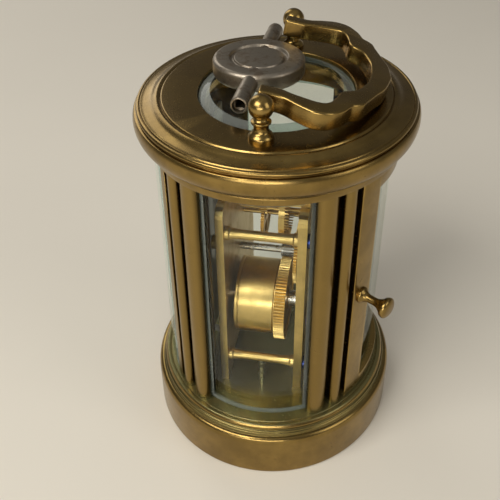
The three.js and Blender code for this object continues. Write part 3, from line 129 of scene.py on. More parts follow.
KEY_BOW_RADIUS = 10
KEY_RING_RADIUS = 6
KEY_DISH = 0.62
KEY_TUBE_RADIUS = 1.8
KEY_LENGTH = 39.4
KEY_SQUARE_DEPTH = 6
KEY_PLACE_Y = -4.8
KEY_TILT = -1.7

QUARTERS = {
    "rear_right": (lambda turn: turn, False),
    "rear_left": (lambda turn: math.pi - turn, False),
    "front_right": (lambda turn: -turn, True),
    "front_left": (lambda turn: math.pi + turn, True),
}


# ------------------------------------------------------------------ sizes and colours to change
def length_setting(name, description, default, low, high):
    """A length that a user can change, given in millimetres."""
    return bpy.props.FloatProperty(
        name=name, description=description, default=default * MM, min=low * MM, max=high * MM,
        subtype="DISTANCE", unit="LENGTH")


def colour_setting(name, description, *default):
    """A colour that a user can change."""
    return bpy.props.FloatVectorProperty(
        name=name, description=description, size=3, default=default, min=0, max=1,
        subtype="COLOR")


def power_setting(name, description, default):
    """A lamp's power that a user can change."""
    return bpy.props.FloatProperty(
        name=name, description=description, default=default, min=0, unit="POWER")


class ClockSettings(bpy.types.PropertyGroup):
    """Sizes and colours of the clock's finished pieces."""

    reed_rise: length_setting("Reed rise", "How far a reed's crown stands out", 1.5, 0.2, 2)
    edge_softness: length_setting(
        "Edge softness", "Rounding of the hand-finished brass edges", 0.22, 0.02, 0.5)
    glass_bevel: length_setting(
        "Glass bevel", "Width of the ground bevel round a pane", 1.9, 0.2, 4)
    brass: colour_setting("Brass", "Worn, bright brass", 0.43, 0.29, 0.092)
    patina: colour_setting("Patina", "Brass dulled by age", 0.215, 0.142, 0.045)
    # painted shade with real dirt: this dark colour marks dirt specks and also darkens hollows,
    # grooves and the reeded pillars' flanks
    grime_and_shade: colour_setting("Grime", "Dark dirt in corners and grooves", 0.045, 0.03, 0.011)
    verdigris: colour_setting(
        "Verdigris", "Green tarnish where brass meets glass", 0.15, 0.16, 0.07)
    gilt: colour_setting("Movement brass", "Cleaner brass of the movement", 0.70, 0.49, 0.18)
    steel: colour_setting("Steel", "Polished steel", 0.56, 0.55, 0.53)
    key_metal: colour_setting("Key metal", "Dull steel of the key", 0.33, 0.29, 0.23)
    blued: colour_setting("Blued steel", "Steel blued by heat", 0.03, 0.05, 0.19)
    enamel: colour_setting("Enamel", "White enamel of the dial", 0.84, 0.82, 0.75)
    glass_tint: colour_setting("Glass tint", "Colour of light through a pane", 0.965, 0.985, 0.972)
    glass_edge: colour_setting(
        "Glass edge", "Blue-green of a pane's ground edge", 0.50, 0.62, 0.58)
    floor: colour_setting("Floor", "Pale floor of the studio", 0.80, 0.755, 0.655)
    key_light: power_setting("Key light", "Power of the large soft light", 2.7)
    fill_light: power_setting("Fill light", "Power of the fill light", 0.7)
    front_light: power_setting("Front light", "Power of the long low light", 1.8)
    room_light: bpy.props.FloatProperty(
        name="Room light", description="Brightness of the room all round", default=0.34, min=0)


def settings():
    """The clock's settings in the scene."""
    return bpy.context.scene.carriage_clock


# ------------------------------------------------------------------ shader recipes
class Value:
    """A node's output that can be used in sums."""

    def __init__(self, recipe, socket):
        self.recipe = recipe
        self.socket = socket

    def maths(self, operation, *values):
        """A Math node on this value and others."""
        return self.recipe.node("ShaderNodeMath", {"operation": operation}, values)

    def __add__(self, other):
        return self.maths("ADD", self, other)

    def __sub__(self, other):
        return self.maths("SUBTRACT", self, other)

    def __rsub__(self, other):
        return self.maths("SUBTRACT", other, self)

    def __mul__(self, other):
        return self.maths("MULTIPLY", self, other)

    def __pow__(self, other):
        return self.maths("POWER", self, other)

    __radd__ = __add__
    __rmul__ = __mul__


class Recipe:
    """A material's or a world's node tree, filled one node at a time."""

    def __init__(self, name, kinds="materials"):
        self.owner = getattr(bpy.data, kinds).new(name)
        self.owner.use_nodes = True
        self.tree = self.owner.node_tree
        self.tree.nodes.clear()

    def node(self, kind, made=None, sockets=(), out=0):
        """Adds a node: its settings first, then the values or links of its sockets."""
        node = self.tree.nodes.new(kind)
        for name, value in (made or {}).items():
            if name == "stops":
                ramp = node.color_ramp
                while len(ramp.elements) < len(value):
                    ramp.elements.new(0.5)
                for element, (place, colour) in zip(ramp.elements, value):
                    element.position = place
                    element.color = colour
            else:
                setattr(node, name, value)
        pairs = sockets.items() if isinstance(sockets, dict) else enumerate(sockets)
        for key, value in pairs:
            socket = node.inputs[key]
            if isinstance(value, Value):
                self.tree.links.new(value.socket, socket)
            elif hasattr(value, "__len__") and len(value) == 3 and socket.type == "RGBA":
                socket.default_value = (*value, 1)
            else:
                socket.default_value = value
        return Value(self, node.outputs[out]) if node.outputs else None

    def place(self, scale=(1, 1, 1), shift=(0, 0, 0)):
        """Object coordinates, stretched and shifted."""
        spot = self.node("ShaderNodeTexCoord", out="Object")
        return self.node("ShaderNodeMapping", sockets={
            "Vector": spot, "Scale": scale, "Location": shift})

    def noise(self, size, detail=3, rough=0.5, scale=(1, 1, 1), shift=(0, 0, 0)):
        """Cloudy noise whose features are about that many metres across."""
        return self.node("ShaderNodeTexNoise", sockets={
            "Vector": self.place(scale, shift), "Scale": 1 / size, "Detail": detail,
            "Roughness": rough})

    def between(self, value, low, high, start=0.0, end=1.0):
        """The value carried smoothly from one span to another, and held at its ends."""
        return self.node("ShaderNodeMapRange", {"interpolation_type": "SMOOTHSTEP"}, {
            "Value": value, "From Min": low, "From Max": high, "To Min": start, "To Max": end})

    def mix(self, share, one, two):
        """Two colours mixed by a share."""
        return self.node("ShaderNodeMix", {"data_type": "RGBA"}, {0: share, 6: one, 7: two}, 2)

    def bump(self, height, depth, strength=1.0, under=None):
        """A bump of that many metres."""
        sockets = {"Height": height, "Distance": depth, "Strength": strength}
        if under is not None:
            sockets["Normal"] = under
        return self.node("ShaderNodeBump", sockets=sockets)

    def pointiness(self):
        """How far a spot stands out of its surroundings: a half on a flat face."""
        return self.node("ShaderNodeNewGeometry", out="Pointiness")

    def finish(self, shader):
        """Joins the shader to the output."""
        self.node("ShaderNodeOutputMaterial", sockets={"Surface": shader})
        return self.owner

    def principled(self, **sockets):
        """The usual shader, with each socket named as in the panel."""
        named = {name.replace("_", " "): value for name, value in sockets.items()}
        return self.finish(self.node("ShaderNodeBsdfPrincipled", sockets=named))


def case_brass(name="aged_case_brass", reeded=False):
    """Old brass: bright where it is handled, brown between, green in its grooves, and dark in its
    grooves and hollows with dirt and painted shade.
    """
    tone = settings()
    recipe = Recipe(name)
    clouds = recipe.noise(9 * MM, detail=4, rough=0.6)
    blotches = recipe.noise(2.4 * MM, detail=5, rough=0.65, shift=(0.4, 0.1, 0.7))
    specks = recipe.noise(0.5 * MM, detail=2, rough=0.6, shift=(0.2, 0.9, 0.3))
    edge = recipe.between(recipe.pointiness(), 0.505, 0.56)
    hollow = recipe.between(recipe.pointiness(), 0.495, 0.445)
    worn = recipe.between(clouds + blotches * 0.35, 0.45, 1.0)
    spots = recipe.between(specks * (blotches + 0.35), 0.58, 0.70)
    colour = recipe.mix(worn * 0.6, tone.patina, tone.brass)
    colour = recipe.mix(spots * 0.45, colour, tone.grime_and_shade)
    colour = recipe.mix(edge * 0.7, colour, tone.brass)
    # painted shade with real dirt: concave spots, found by pointiness, go towards the dark
    # grime-and-shade colour
    colour = recipe.mix(hollow * 0.9, colour, tone.grime_and_shade)
    if reeded:
        # painted shade: the whole reeded pillar is pulled towards the dark grime-and-shade colour,
        # and its flanks, further in from the oval, most of all
        across = recipe.node("ShaderNodeSeparateXYZ", sockets={0: recipe.place()}, out="X")
        along = recipe.node("ShaderNodeSeparateXYZ", sockets={0: recipe.place()}, out="Y")
        out = ((across * (1 / (HALF_X * MM))) ** 2 + (along * (1 / (HALF_Y * MM))) ** 2) ** 0.5
        flank = recipe.between(out, 1 - 0.15 / MEAN_RADIUS, 1 - 1.5 / MEAN_RADIUS)
        colour = recipe.mix(0.30 + flank * 0.55, colour, tone.grime_and_shade)
    height = recipe.node("ShaderNodeSeparateXYZ", sockets={0: recipe.place()}, out="Z")
    seat = recipe.between(height, (DECK - 0.35) * MM, (DECK - 0.05) * MM) * recipe.between(
        height, (DECK + 2.5) * MM, (DECK + 0.1) * MM)
    ledge = recipe.between(height, (DECK - 3.1) * MM, (DECK - 2.6) * MM) * recipe.between(
        height, (DECK - 0.6) * MM, (DECK - 1.2) * MM)
    colour = recipe.mix((seat * 0.75 + ledge * 0.5) * recipe.between(blotches, 0.3, 0.6, 0.6),
                        colour, tone.verdigris)
    scratches = recipe.noise(0.25 * MM, detail=2, scale=(1, 1, 9), shift=(3, 1, 2))
    roughness = 0.24 - worn * 0.05 + spots * 0.12 + hollow * 0.2 + scratches * 0.06
    roll = recipe.noise(3.5 * MM, detail=1)
    surface = recipe.bump(scratches, 0.01 * MM, 0.5, recipe.bump(
        specks, 0.012 * MM, 0.3, recipe.bump(roll, 0.05 * MM, 0.3)))
    return recipe.principled(
        Base_Color=colour, Metallic=1 - (seat + hollow) * 0.3, Roughness=roughness, Normal=surface)


def reed_brass():
    """Case brass of the reeded pillars, darkened all over by painted shade and most of all on their
    flanks.
    """
    return case_brass("dulled_reed_brass", reeded=True)


def movement_brass():
    """Gilt brass with a straight grain, little dulled."""
    tone = settings()
    recipe = Recipe("grained_movement_brass")
    grain = recipe.noise(0.18 * MM, detail=3, scale=(1, 1, 0.05))
    clouds = recipe.noise(4 * MM, detail=4, rough=0.6)
    hollow = recipe.between(recipe.pointiness(), 0.49, 0.43)
    dull = recipe.between(clouds, 0.35, 0.85)
    colour = recipe.mix(dull * 0.4, tone.gilt, tone.patina)
    colour = recipe.mix(grain * 0.3, colour, tone.brass)
    # painted shade with real dirt: concave spots, found by pointiness, go towards the dark
    # grime-and-shade colour
    colour = recipe.mix(hollow * 0.8, colour, tone.grime_and_shade)
    return recipe.principled(
        Base_Color=colour, Metallic=1.0, Roughness=0.24 + dull * 0.16 + grain * 0.1,
        Normal=recipe.bump(grain, 0.008 * MM, 0.5))


def plain_metal(name, colour_name, rough, stain, stain_share):
    """Steel with a fine grain and a few stains."""
    tone = settings()
    recipe = Recipe(name)
    grain = recipe.noise(0.15 * MM, detail=2, scale=(0.15, 1, 1))
    clouds = recipe.noise(3 * MM, detail=5, rough=0.65, shift=(0.6, 0.2, 0.8))
    stained = recipe.between(clouds, 0.46, 0.68)
    hollow = recipe.between(recipe.pointiness(), 0.49, 0.44)
    colour = recipe.mix(stained * stain_share, getattr(tone, colour_name), stain)
    # painted shade with real dirt: concave spots, found by pointiness, go towards the dark
    # grime-and-shade colour
    colour = recipe.mix(hollow * 0.8, colour, tone.grime_and_shade)
    return recipe.principled(
        Base_Color=colour, Metallic=1.0, Roughness=rough + stained * 0.14 + grain * 0.08,
        Normal=recipe.bump(grain, 0.01 * MM, 0.5, recipe.bump(clouds, 0.05 * MM, 0.3)))


def steel():
    """Polished steel of arbors and levers."""
    return plain_metal("polished_steel", "steel", 0.2, (0.22, 0.17, 0.12), 0.35)


def key_steel():
    """Dull, handled steel with brown stains."""
    return plain_metal("handled_key_steel", "key_metal", 0.34, (0.13, 0.09, 0.055), 0.75)


def blued_steel():
    """Steel blued by heat."""
    return plain_metal("blued_steel", "blued", 0.22, (0.05, 0.03, 0.10), 0.5)


def glass(name, tint, gloss, haze, even=0.0):
    """Clear glass that lets light straight through and mirrors more at a slant."""
    recipe = Recipe(name)
    facing = recipe.node("ShaderNodeLayerWeight", sockets={"Blend": 0.5}, out="Facing")
    smears = recipe.between(recipe.noise(7 * MM, detail=4, rough=0.6), 0.45, 0.75)
    clear = recipe.node("ShaderNodeBsdfTransparent", sockets={"Color": tint})
    mirror = recipe.node("ShaderNodeBsdfGlossy", sockets={
        "Color": (0.97, 1.0, 0.98), "Roughness": 0.03})
    film = recipe.node("ShaderNodeBsdfDiffuse", sockets={"Color": (0.62, 0.66, 0.6)})
    pane = recipe.node("ShaderNodeMixShader", sockets={
        0: facing ** 4 * gloss + 0.014, 1: clear, 2: mirror})
    return recipe.finish(recipe.node("ShaderNodeMixShader", sockets={
        0: smears * (haze * (1 - even)) + haze * even, 1: pane, 2: film}))


def clear_glass():
    """The face of a pane."""
    return glass("clear_glass", settings().glass_tint, 0.45, 0.006)


def glass_edge():
    """The ground bevel and edge of a pane."""
    return glass("ground_glass_edge", settings().glass_edge, 0.5, 0.26, 0.7)


def enamel():
    """White fired enamel with a slight ripple."""
    tone = settings()
    recipe = Recipe("white_enamel")
    clouds = recipe.noise(5 * MM, detail=3)
    specks = recipe.between(recipe.noise(0.35 * MM, detail=1), 0.72, 0.8)
    colour = recipe.mix(clouds * 0.25, tone.enamel, (0.72, 0.68, 0.58))
    colour = recipe.mix(specks * 0.25, colour, (0.3, 0.26, 0.2))
    return recipe.principled(
        Base_Color=colour, Roughness=0.18 + clouds * 0.08, Coat_Weight=0.5, Coat_Roughness=0.05,
        Normal=recipe.bump(clouds, 0.05 * MM, 0.3))


def dial_black():
    """Black enamel paint of the numerals."""
    recipe = Recipe("black_dial_paint")
    clouds = recipe.noise(1 * MM, detail=3)
    colour = recipe.mix(clouds, (0.012, 0.012, 0.014), (0.04, 0.036, 0.034))
    return recipe.principled(Base_Color=colour, Roughness=0.3 + clouds * 0.15)


def ruby():
    """Red jewel of a pivot hole."""
    recipe = Recipe("ruby_jewel")
    clouds = recipe.noise(0.6 * MM, detail=2)
    colour = recipe.mix(clouds, (0.42, 0.01, 0.035), (0.62, 0.04, 0.08))
    return recipe.principled(Base_Color=colour, Roughness=0.08 + clouds * 0.04, Coat_Weight=0.6)


def floor_finish():
    """Matt pale cloth-covered board."""
    tone = settings()
    recipe = Recipe("pale_floor")
    clouds = recipe.noise(60 * MM, detail=3)
    weave = recipe.noise(0.9 * MM, detail=2)
    darker = tuple(0.93 * part for part in tone.floor)
    colour = recipe.mix(clouds * 0.5, tone.floor, darker)
    return recipe.principled(
        Base_Color=colour, Roughness=0.85, Normal=recipe.bump(weave, 0.05 * MM, 0.25))


MAKERS = {
    "case_brass": case_brass, "reed_brass": reed_brass, "movement_brass": movement_brass,
    "steel": steel, "key_steel": key_steel, "blued_steel": blued_steel, "glass": clear_glass,
    "glass_edge": glass_edge, "enamel": enamel, "dial_black": dial_black, "ruby": ruby,
    "floor": floor_finish,
}
made_finishes = {}


def finish(name):
    """A finish by name, made once."""
    if name not in made_finishes:
        made_finishes[name] = MAKERS[name]()
    return made_finishes[name]


def dress(slot, *nodes):
    """Gives CAD nodes the finish of their slot."""
    for node in nodes:
        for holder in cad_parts[node].material_slots:
            holder.material = finish(slot)


# ------------------------------------------------------------------ shapes, in millimetres
def rounded(points, closed=True):
    """Corners given as (x, y, reach) are rounded by that reach along each side."""
    line = []
    for index, (x, y, *reach) in enumerate(points):
        inner = closed or 0 < index < len(points) - 1
        if not reach or not inner:
            line.append(Vector((x, y)))
            continue
        corner = Vector((x, y))
        ahead = Vector(points[(index + 1) % len(points)][:2]) - corner
        behind = Vector(points[index - 1][:2]) - corner
        start = corner + behind.normalized() * min(reach[0], behind.length * 0.48)
        end = corner + ahead.normalized() * min(reach[0], ahead.length * 0.48)
        for step in range(5):
            share = step / 4
            line.append(start * (1 - share) ** 2 + corner * 2 * share * (1 - share)
                        + end * share ** 2)
    return line


def turned(profile, sides=48):
    """A profile of radius and height, turned about the vertical axis."""
    shape = bmesh.new()
    on_axis = profile[0][0] == 0
    verts = [shape.verts.new((x, 0, z)) for x, z in rounded(profile, not on_axis)]
    edges = [shape.edges.new(pair) for pair in zip(verts, verts[1:])]
    if not on_axis:
        edges.append(shape.edges.new((verts[-1], verts[0])))
    bmesh.ops.spin(shape, geom=verts + edges, cent=(0, 0, 0), axis=(0, 0, 1), dvec=(0, 0, 0),
                   angle=FULL_TURN, steps=sides, use_merge=True, use_normal_flip=False,
                   use_duplicate=False)
    bmesh.ops.remove_doubles(shape, verts=shape.verts, dist=1e-4)
    return shape


def oval_turned(profile, sides=168):
    """A profile of (offset from the case's oval, height), carried round the oval."""
    centre = -HALF_X
    shape = turned([(max(HALF_X + offset, 0), z, *reach) for offset, z, *reach in profile], sides)
    for vert in shape.verts:
        offset = max(math.hypot(vert.co.x, vert.co.y) - HALF_X, centre / 2)
        vert.co.y *= (HALF_Y + offset) / (HALF_X + offset)
    return shape


def slab(outline, low, high):
    """An outline in plan, drawn up from one height to another."""
    shape = bmesh.new()
    face = shape.faces.new([shape.verts.new((x, y, low)) for x, y in outline])
    raised = bmesh.ops.extrude_face_region(shape, geom=[face])["geom"]
    verts = [item for item in raised if isinstance(item, bmesh.types.BMVert)]
    bmesh.ops.translate(shape, vec=(0, 0, high - low), verts=verts)
    bmesh.ops.recalc_face_normals(shape, faces=shape.faces)
    return shape


def block(low, high):
    """A box between two corners."""
    shape = bmesh.new()
    bmesh.ops.create_cube(shape, size=1)
    low, high = Vector(low), Vector(high)
    bmesh.ops.scale(shape, vec=high - low, verts=shape.verts)
    bmesh.ops.translate(shape, vec=(low + high) / 2, verts=shape.verts)
    return shape


def soften(shape, width, segments=3, angle=32):
    """Rounds every edge that turns by more than the angle."""
    limit = math.radians(angle)
    edges = [edge for edge in shape.edges
             if len(edge.link_faces) == 2 and edge.calc_face_angle(0) > limit]
    bmesh.ops.bevel(shape, geom=edges, offset=width, offset_type="OFFSET", segments=segments,
                    profile=0.5, affect="EDGES", material=-1, clamp_overlap=True)
    return shape


def slice_along(shape, axis, places):
    """Cuts a shape's faces at places along an axis, so that it can bend."""
    normal = [0, 0, 0]
    normal[axis] = 1
    for place in places:
        spot = [0, 0, 0]
        spot[axis] = place
        geom = [*shape.verts, *shape.edges, *shape.faces]
        bmesh.ops.bisect_plane(shape, geom=geom, plane_co=spot, plane_no=normal, dist=1e-5)
    return shape


def bend(shape, turn_of=lambda turn: turn):
    """Wraps a flat shape round the case: X is the way round, Y the offset, Z the height."""
    for vert in shape.verts:
        turn = turn_of(vert.co.x / MEAN_RADIUS)
        offset = vert.co.y
        vert.co.x = (HALF_X + offset) * math.cos(turn)
        vert.co.y = (HALF_Y + offset) * math.sin(turn)
    return shape


def moved(shape, *matrices):
    """Applies matrices to a shape, the last one first."""
    whole = Matrix.Identity(4)
    for matrix in matrices:
        whole = whole @ matrix
    bmesh.ops.transform(shape, matrix=whole, verts=shape.verts)
    return shape


def shift(x, y, z):
    """A matrix that moves."""
    return Matrix.Translation((x, y, z))


def swing(degrees, axis):
    """A matrix that turns."""
    return Matrix.Rotation(math.radians(degrees), 4, axis)


def combine(*shapes):
    """Several shapes as one."""
    whole = shapes[0]
    for shape in shapes[1:]:
        mesh = bpy.data.meshes.new("part")
        shape.to_mesh(mesh)
        shape.free()
        whole.from_mesh(mesh)
        bpy.data.meshes.remove(mesh)
    return whole


def as_mesh(name, shape):
    """A shape in millimetres as a mesh in metres, with its faces outwards."""
    bmesh.ops.remove_doubles(shape, verts=shape.verts, dist=2e-4)
    bmesh.ops.recalc_face_normals(shape, faces=shape.faces)
    bmesh.ops.scale(shape, vec=(MM, MM, MM), verts=shape.verts)
    mesh = bpy.data.meshes.new(name)
    shape.to_mesh(mesh)
    shape.free()
    mesh.shade_smooth()
    mesh.set_sharp_from_angle(angle=math.radians(38))
    return mesh


def piece(name, shape, body, slot, stands_for=(), finishes=None):
    """A shape made into a piece that rides on a body."""
    thing = bpy.data.objects.new(name, as_mesh(name, shape))
    bpy.context.scene.collection.objects.link(thing)
    for one in finishes or (slot,):
        thing.data.materials.append(finish(one))
    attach(thing, body)
    if stands_for:
        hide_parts(*stands_for)
    return thing


def carve(shape, *cutters):
    """Cuts other shapes out of a shape."""
    scene = bpy.context.scene
    keep = bpy.data.objects.new("stock", bpy.data.meshes.new("stock"))
    bmesh.ops.recalc_face_normals(shape, faces=shape.faces)
    shape.to_mesh(keep.data)
    shape.free()
    scene.collection.objects.link(keep)
    tools = []
    for cutter in cutters:
        tool = bpy.data.objects.new("tool", bpy.data.meshes.new("tool"))
        bmesh.ops.recalc_face_normals(cutter, faces=cutter.faces)
        cutter.to_mesh(tool.data)
        cutter.free()
        scene.collection.objects.link(tool)
        cut = keep.modifiers.new("cut", "BOOLEAN")
        cut.operation = "DIFFERENCE"
        cut.solver = "EXACT"
        cut.object = tool
        tools.append(tool)
    bpy.context.view_layer.update()
    graph = bpy.context.evaluated_depsgraph_get()
    result = bpy.data.meshes.new_from_object(keep.evaluated_get(graph))
    left = bmesh.new()
    left.from_mesh(result)
    bpy.data.meshes.remove(result)
    for thing in (keep, *tools):
        mesh = thing.data
        bpy.data.objects.remove(thing)
        bpy.data.meshes.remove(mesh)
    return left


# ------------------------------------------------------------------ the studio
CAMERA_PLACE = Vector((144.28, 21.61, 158.48)) * MM
CAMERA_AIM = Vector((-0.77304, -0.14934, -0.61652))
CAMERA_UP = Vector((-0.60781, -0.10383, 0.78727))
CAMERA_LENS = 53.79
LAMP_AIM = Vector((0, 0, 45)) * MM
LAMP_TINT = (1.0, 0.965, 0.92)
FLOOR_REACH = 2
ROOM_SHADES = ((0.0, (0.62, 0.58, 0.51, 1)), (0.25, (0.34, 0.315, 0.275, 1)),
               (0.55, (0.36, 0.345, 0.32, 1)), (1.0, (1.0, 0.98, 0.95, 1)))


class Stage(bpy.types.Operator):
    """Lays the floor, hangs the lights and sets up the camera"""

    bl_idname = "clock.stage"
    bl_label = "Floor, lights and camera"

    def execute(self, context):
        tone = settings()
        scene = context.scene
        scene.view_settings.view_transform = "Standard"
        shape = bmesh.new()
        bmesh.ops.create_grid(shape, x_segments=8, y_segments=8, size=FLOOR_REACH)
        mesh = bpy.data.meshes.new("floor")
        shape.to_mesh(mesh)
        shape.free()
        floor = bpy.data.objects.new("floor", mesh)
        floor.data.materials.append(finish("floor"))
        scene.collection.objects.link(floor)

        room = Recipe("studio", "worlds")
        upward = room.node("ShaderNodeSeparateXYZ", sockets=(
            room.node("ShaderNodeTexCoord", out="Generated"),), out="Z")
        shades = room.node("ShaderNodeValToRGB", {"stops": ROOM_SHADES}, (upward,))
        back = room.node("ShaderNodeBackground", sockets=(shades, tone.room_light))
        room.node("ShaderNodeOutputWorld", sockets=(back,))
        scene.world = room.owner

        self.lamp("key_light", tone.key_light, (0.36, -0.26, 0.52), (0.42, 0.30))
        self.lamp("fill_light", tone.fill_light, (0.22, 0.55, 0.36), (0.30, 0.40))
        self.lamp("front_light", tone.front_light, (0.72, -0.02, 0.21), (0.55, 0.13))
        self.lamp("back_light", tone.fill_light * 1.2, (-0.5, -0.42, 0.40), (0.3, 0.5))

        lens = bpy.data.cameras.new("camera")
        lens.lens = CAMERA_LENS
        lens.sensor_width = 36
        lens.clip_start = 0.01
        lens.clip_end = 10
        camera = bpy.data.objects.new("camera", lens)
        aside = CAMERA_AIM.cross(CAMERA_UP).normalized()
        up = aside.cross(CAMERA_AIM).normalized()
        camera.matrix_world = Matrix((
            (aside.x, up.x, -CAMERA_AIM.x, CAMERA_PLACE.x),
            (aside.y, up.y, -CAMERA_AIM.y, CAMERA_PLACE.y),
            (aside.z, up.z, -CAMERA_AIM.z, CAMERA_PLACE.z), (0, 0, 0, 1)))
        scene.collection.objects.link(camera)
        scene.camera = camera
        return {"FINISHED"}

    def lamp(self, name, power, place, size):
        """A large soft light aimed at the clock."""
        light = bpy.data.lights.new(name, "AREA")
        light.energy = power
        light.shape = "RECTANGLE"
        light.size, light.size_y = size
        light.color = LAMP_TINT
        thing = bpy.data.objects.new(name, light)
        turn = (LAMP_AIM - Vector(place)).to_track_quat("-Z", "Y")
        thing.matrix_world = Matrix.Translation(place) @ turn.to_matrix().to_4x4()
        bpy.context.scene.collection.objects.link(thing)


# ------------------------------------------------------------------ the case
class Base(bpy.types.Operator):
    """Turns the stepped base with its ring lines and hollow underside"""

    bl_idname = "clock.base"
    bl_label = "Base"

    def execute(self, context):
        wall, under = 4.3, 5.6
        out = BASE_SPREAD
        profile = [
            (-HALF_X, DECK), (0.05, DECK, 0.03), (0.15, DECK - 0.16, 0.04),
            (0.32, DECK - 0.16, 0.04), (0.42, DECK, 0.05), (1.2, DECK, 0.2),
            (1.72, DECK - 0.75, 0.3), (1.6, DECK - 1.35, 0.12),
            (2.0, DECK - 1.5, 0.15), (2.1, DECK - 1.9, 0.08), (2.02, DECK - 2.02, 0.04),
            (2.16, DECK - 2.14, 0.05), (2.32, DECK - 2.85, 0.1), (out - 0.75, DECK - 2.92, 0.25),
            (out - 0.25, DECK - 3.4, 0.35), (out, DECK - 4.25, 0.5), (out, 0.35, 0.2),
            (out - 0.3, 0, 0.15), (out - wall + 0.2, 0, 0.1), (out - wall, 0.2, 0.1),
            (out - wall, DECK - under, 0.5), (-HALF_X, DECK - under),
        ]
        piece("case_base", oval_turned(profile), "case", "case_brass", ["base"])
        dress("steel", *(f"case_screw_{quarter}" for quarter in QUARTERS),
              "movement_screw_right", "movement_screw_left")
        return {"FINISHED"}


class Cornice(bpy.types.Operator):
    """Turns the moulded cornice and the top plate round its oval window"""

    bl_idname = "clock.cornice"
    bl_label = "Cornice"

    def execute(self, context):
        low, top = WINDOW_TOP, TOP
        hole, ledge = -TOP_GLASS_INSET, -TOP_GLASS_INSET - TOP_GLASS_LEDGE
        seat, under = TOP - 1.8, TOP - TOP_PLATE_THICKNESS
        profile = [
            (-PILASTER_DEPTH, low), (0.4, low, 0.12), (0.6, low + 1.45, 0.25),
            (0.5, low + 1.7, 0.1), (0.1, low + 1.78, 0.06), (0.1, low + 2.12, 0.06),
            (1.25, low + 2.25, 0.15), (2.4, low + 3.05, 0.9), (3.05, low + 4.2, 0.9),
            (3.3, low + 5.4, 1.0), (3.22, low + 6.6, 0.7), (2.88, low + 7.35, 0.12),
            (2.2, low + 7.42, 0.06), (2.2, low + 7.68, 0.06), (2.42, low + 7.74, 0.1),
            (2.5, low + 8.1, 0.22), (2.25, low + 8.5, 0.15), (1.8, low + 8.56, 0.06),
            (1.66, low + 8.42, 0.04), (1.5, low + 8.66, 0.08), (0.9, low + 8.68, 0.3),
            (-0.6, low + 8.95, 0.7), (-1.45, low + 9.5, 0.35), (-2.05, low + 9.74, 0.25),
            (-2.55, low + 9.62, 0.12), (-2.72, low + 9.44, 0.05), (-2.92, low + 9.72, 0.06),
            (-3.1, top, 0.06), (hole + 0.12, top, 0.06), (hole, top - 0.12, 0.06), (hole, seat),
            (ledge, seat), (ledge, under), (-PILASTER_DEPTH, under),
        ]
        piece("case_cornice", oval_turned(profile), "case", "case_brass", ["cornice"])
        return {"FINISHED"}


class Pilasters(bpy.types.Operator):
    """Planes the four reeded corner pillars"""

    bl_idname = "clock.pilasters"
    bl_label = "Pilasters"

    def execute(self, context):
        rise = settings().reed_rise / MM
        for name, (turn_of, front) in QUARTERS.items():
            outline = [(turn * MEAN_RADIUS, offset) for turn, offset in self.outline(rise, front)]
            shape = soften(slab(outline, DECK, WINDOW_TOP), 0.09, 1, 50)
            bend(shape, turn_of)
            # the pillars wear reed brass, a copy of case brass darkened by painted shade
            piece(f"pillar_{name}", shape, "case", "case_brass", [f"pilaster_{name}"],
                  ("reed_brass",))
        return {"FINISHED"}

    def reed(self, start, end, rise, count):
        """A half-round reed's face."""
        points = []
        for step in range(count + 1):
            lean = math.pi * (step / count - 0.5)
            points.append((start + (end - start) * (math.sin(lean) + 1) / 2,
                           -rise * (1 - math.cos(lean))))
        return points

    def outline(self, rise, front):
        """One pilaster's outline, as turns and offsets."""
        clear = GLASS_CLEARANCE
        lip = SIDE_WINDOW_TURN + SLOT_LIP_TURN
        slot, slot_back = -SIDE_GLASS_INSET + clear, -SIDE_GLASS_INSET - GLASS_THICKNESS - clear
        slot_end = SIDE_WINDOW_TURN + SIDE_GLASS_SEAT_TURN + clear / HALF_Y
        wide_end = SIDE_WINDOW_TURN + WIDE_REED_TURN
        narrow = wide_end + REED_GROOVE_TURN
        narrow_end = narrow + NARROW_REED_TURN
        shelf = -FRONT_GLASS_INSET - GLASS_THICKNESS - clear
        strip_end = PILASTER_TURN + FRONT_STRIP_TURN + FRONT_GLASS_GAP_TURN - clear / HALF_Y
        groove = [(narrow_end + 0.003, -REED_GROOVE_DEPTH), (PILASTER_TURN, -REED_GROOVE_DEPTH)]
        front_edge = [
            (PILASTER_TURN, -FRONT_STRIP_INSET), (strip_end, -FRONT_STRIP_INSET),
            (strip_end, shelf), (strip_end + SHELF_TURN, shelf),
            (strip_end + SHELF_TURN, -PILASTER_DEPTH)]
        return [
            (lip, -PILASTER_DEPTH), (lip, slot_back), (slot_end, slot_back), (slot_end, slot),
            (SIDE_WINDOW_TURN, slot), *self.reed(SIDE_WINDOW_TURN, wide_end, rise, 18),
            (wide_end + 0.002, -REED_GROOVE_DEPTH), (narrow - 0.002, -REED_GROOVE_DEPTH),
            *self.reed(narrow, narrow_end, rise, 14), *groove,
            *(front_edge if front else [(PILASTER_TURN, -PILASTER_DEPTH)])]


def bowed_pane(middle, half, outer, inner, low, high, bevel, ground=GROUND_DEPTH):
    """A bowed pane with a ground bevel round its outer face, as a flat shape that is then bent."""
    reach = half * MEAN_RADIUS
    shape = block((-reach, inner, low), (reach, outer, high))
    face = max(shape.faces, key=lambda one: one.calc_center_median().y)
    for one in shape.faces:
        one.material_index = 1
    bmesh.ops.inset_region(shape, faces=[face], thickness=bevel, depth=0, use_even_offset=True)
    bmesh.ops.translate(shape, vec=(0, ground, 0), verts=face.verts)
    bmesh.ops.translate(shape, vec=(0, -ground, 0), verts=shape.verts)
    bmesh.ops.translate(shape, vec=(0, ground, 0), verts=[
        vert for vert in shape.verts if vert.co.y < (inner + outer) / 2 - ground])
    face.material_index = 0
    min(shape.faces, key=lambda one: one.calc_center_median().y).material_index = 0
    count = max(int(reach / 0.45), 8)
    slice_along(shape, 0, [reach * (2 * step / count - 1) for step in range(1, count)])
    return bend(shape, lambda turn: turn + middle)


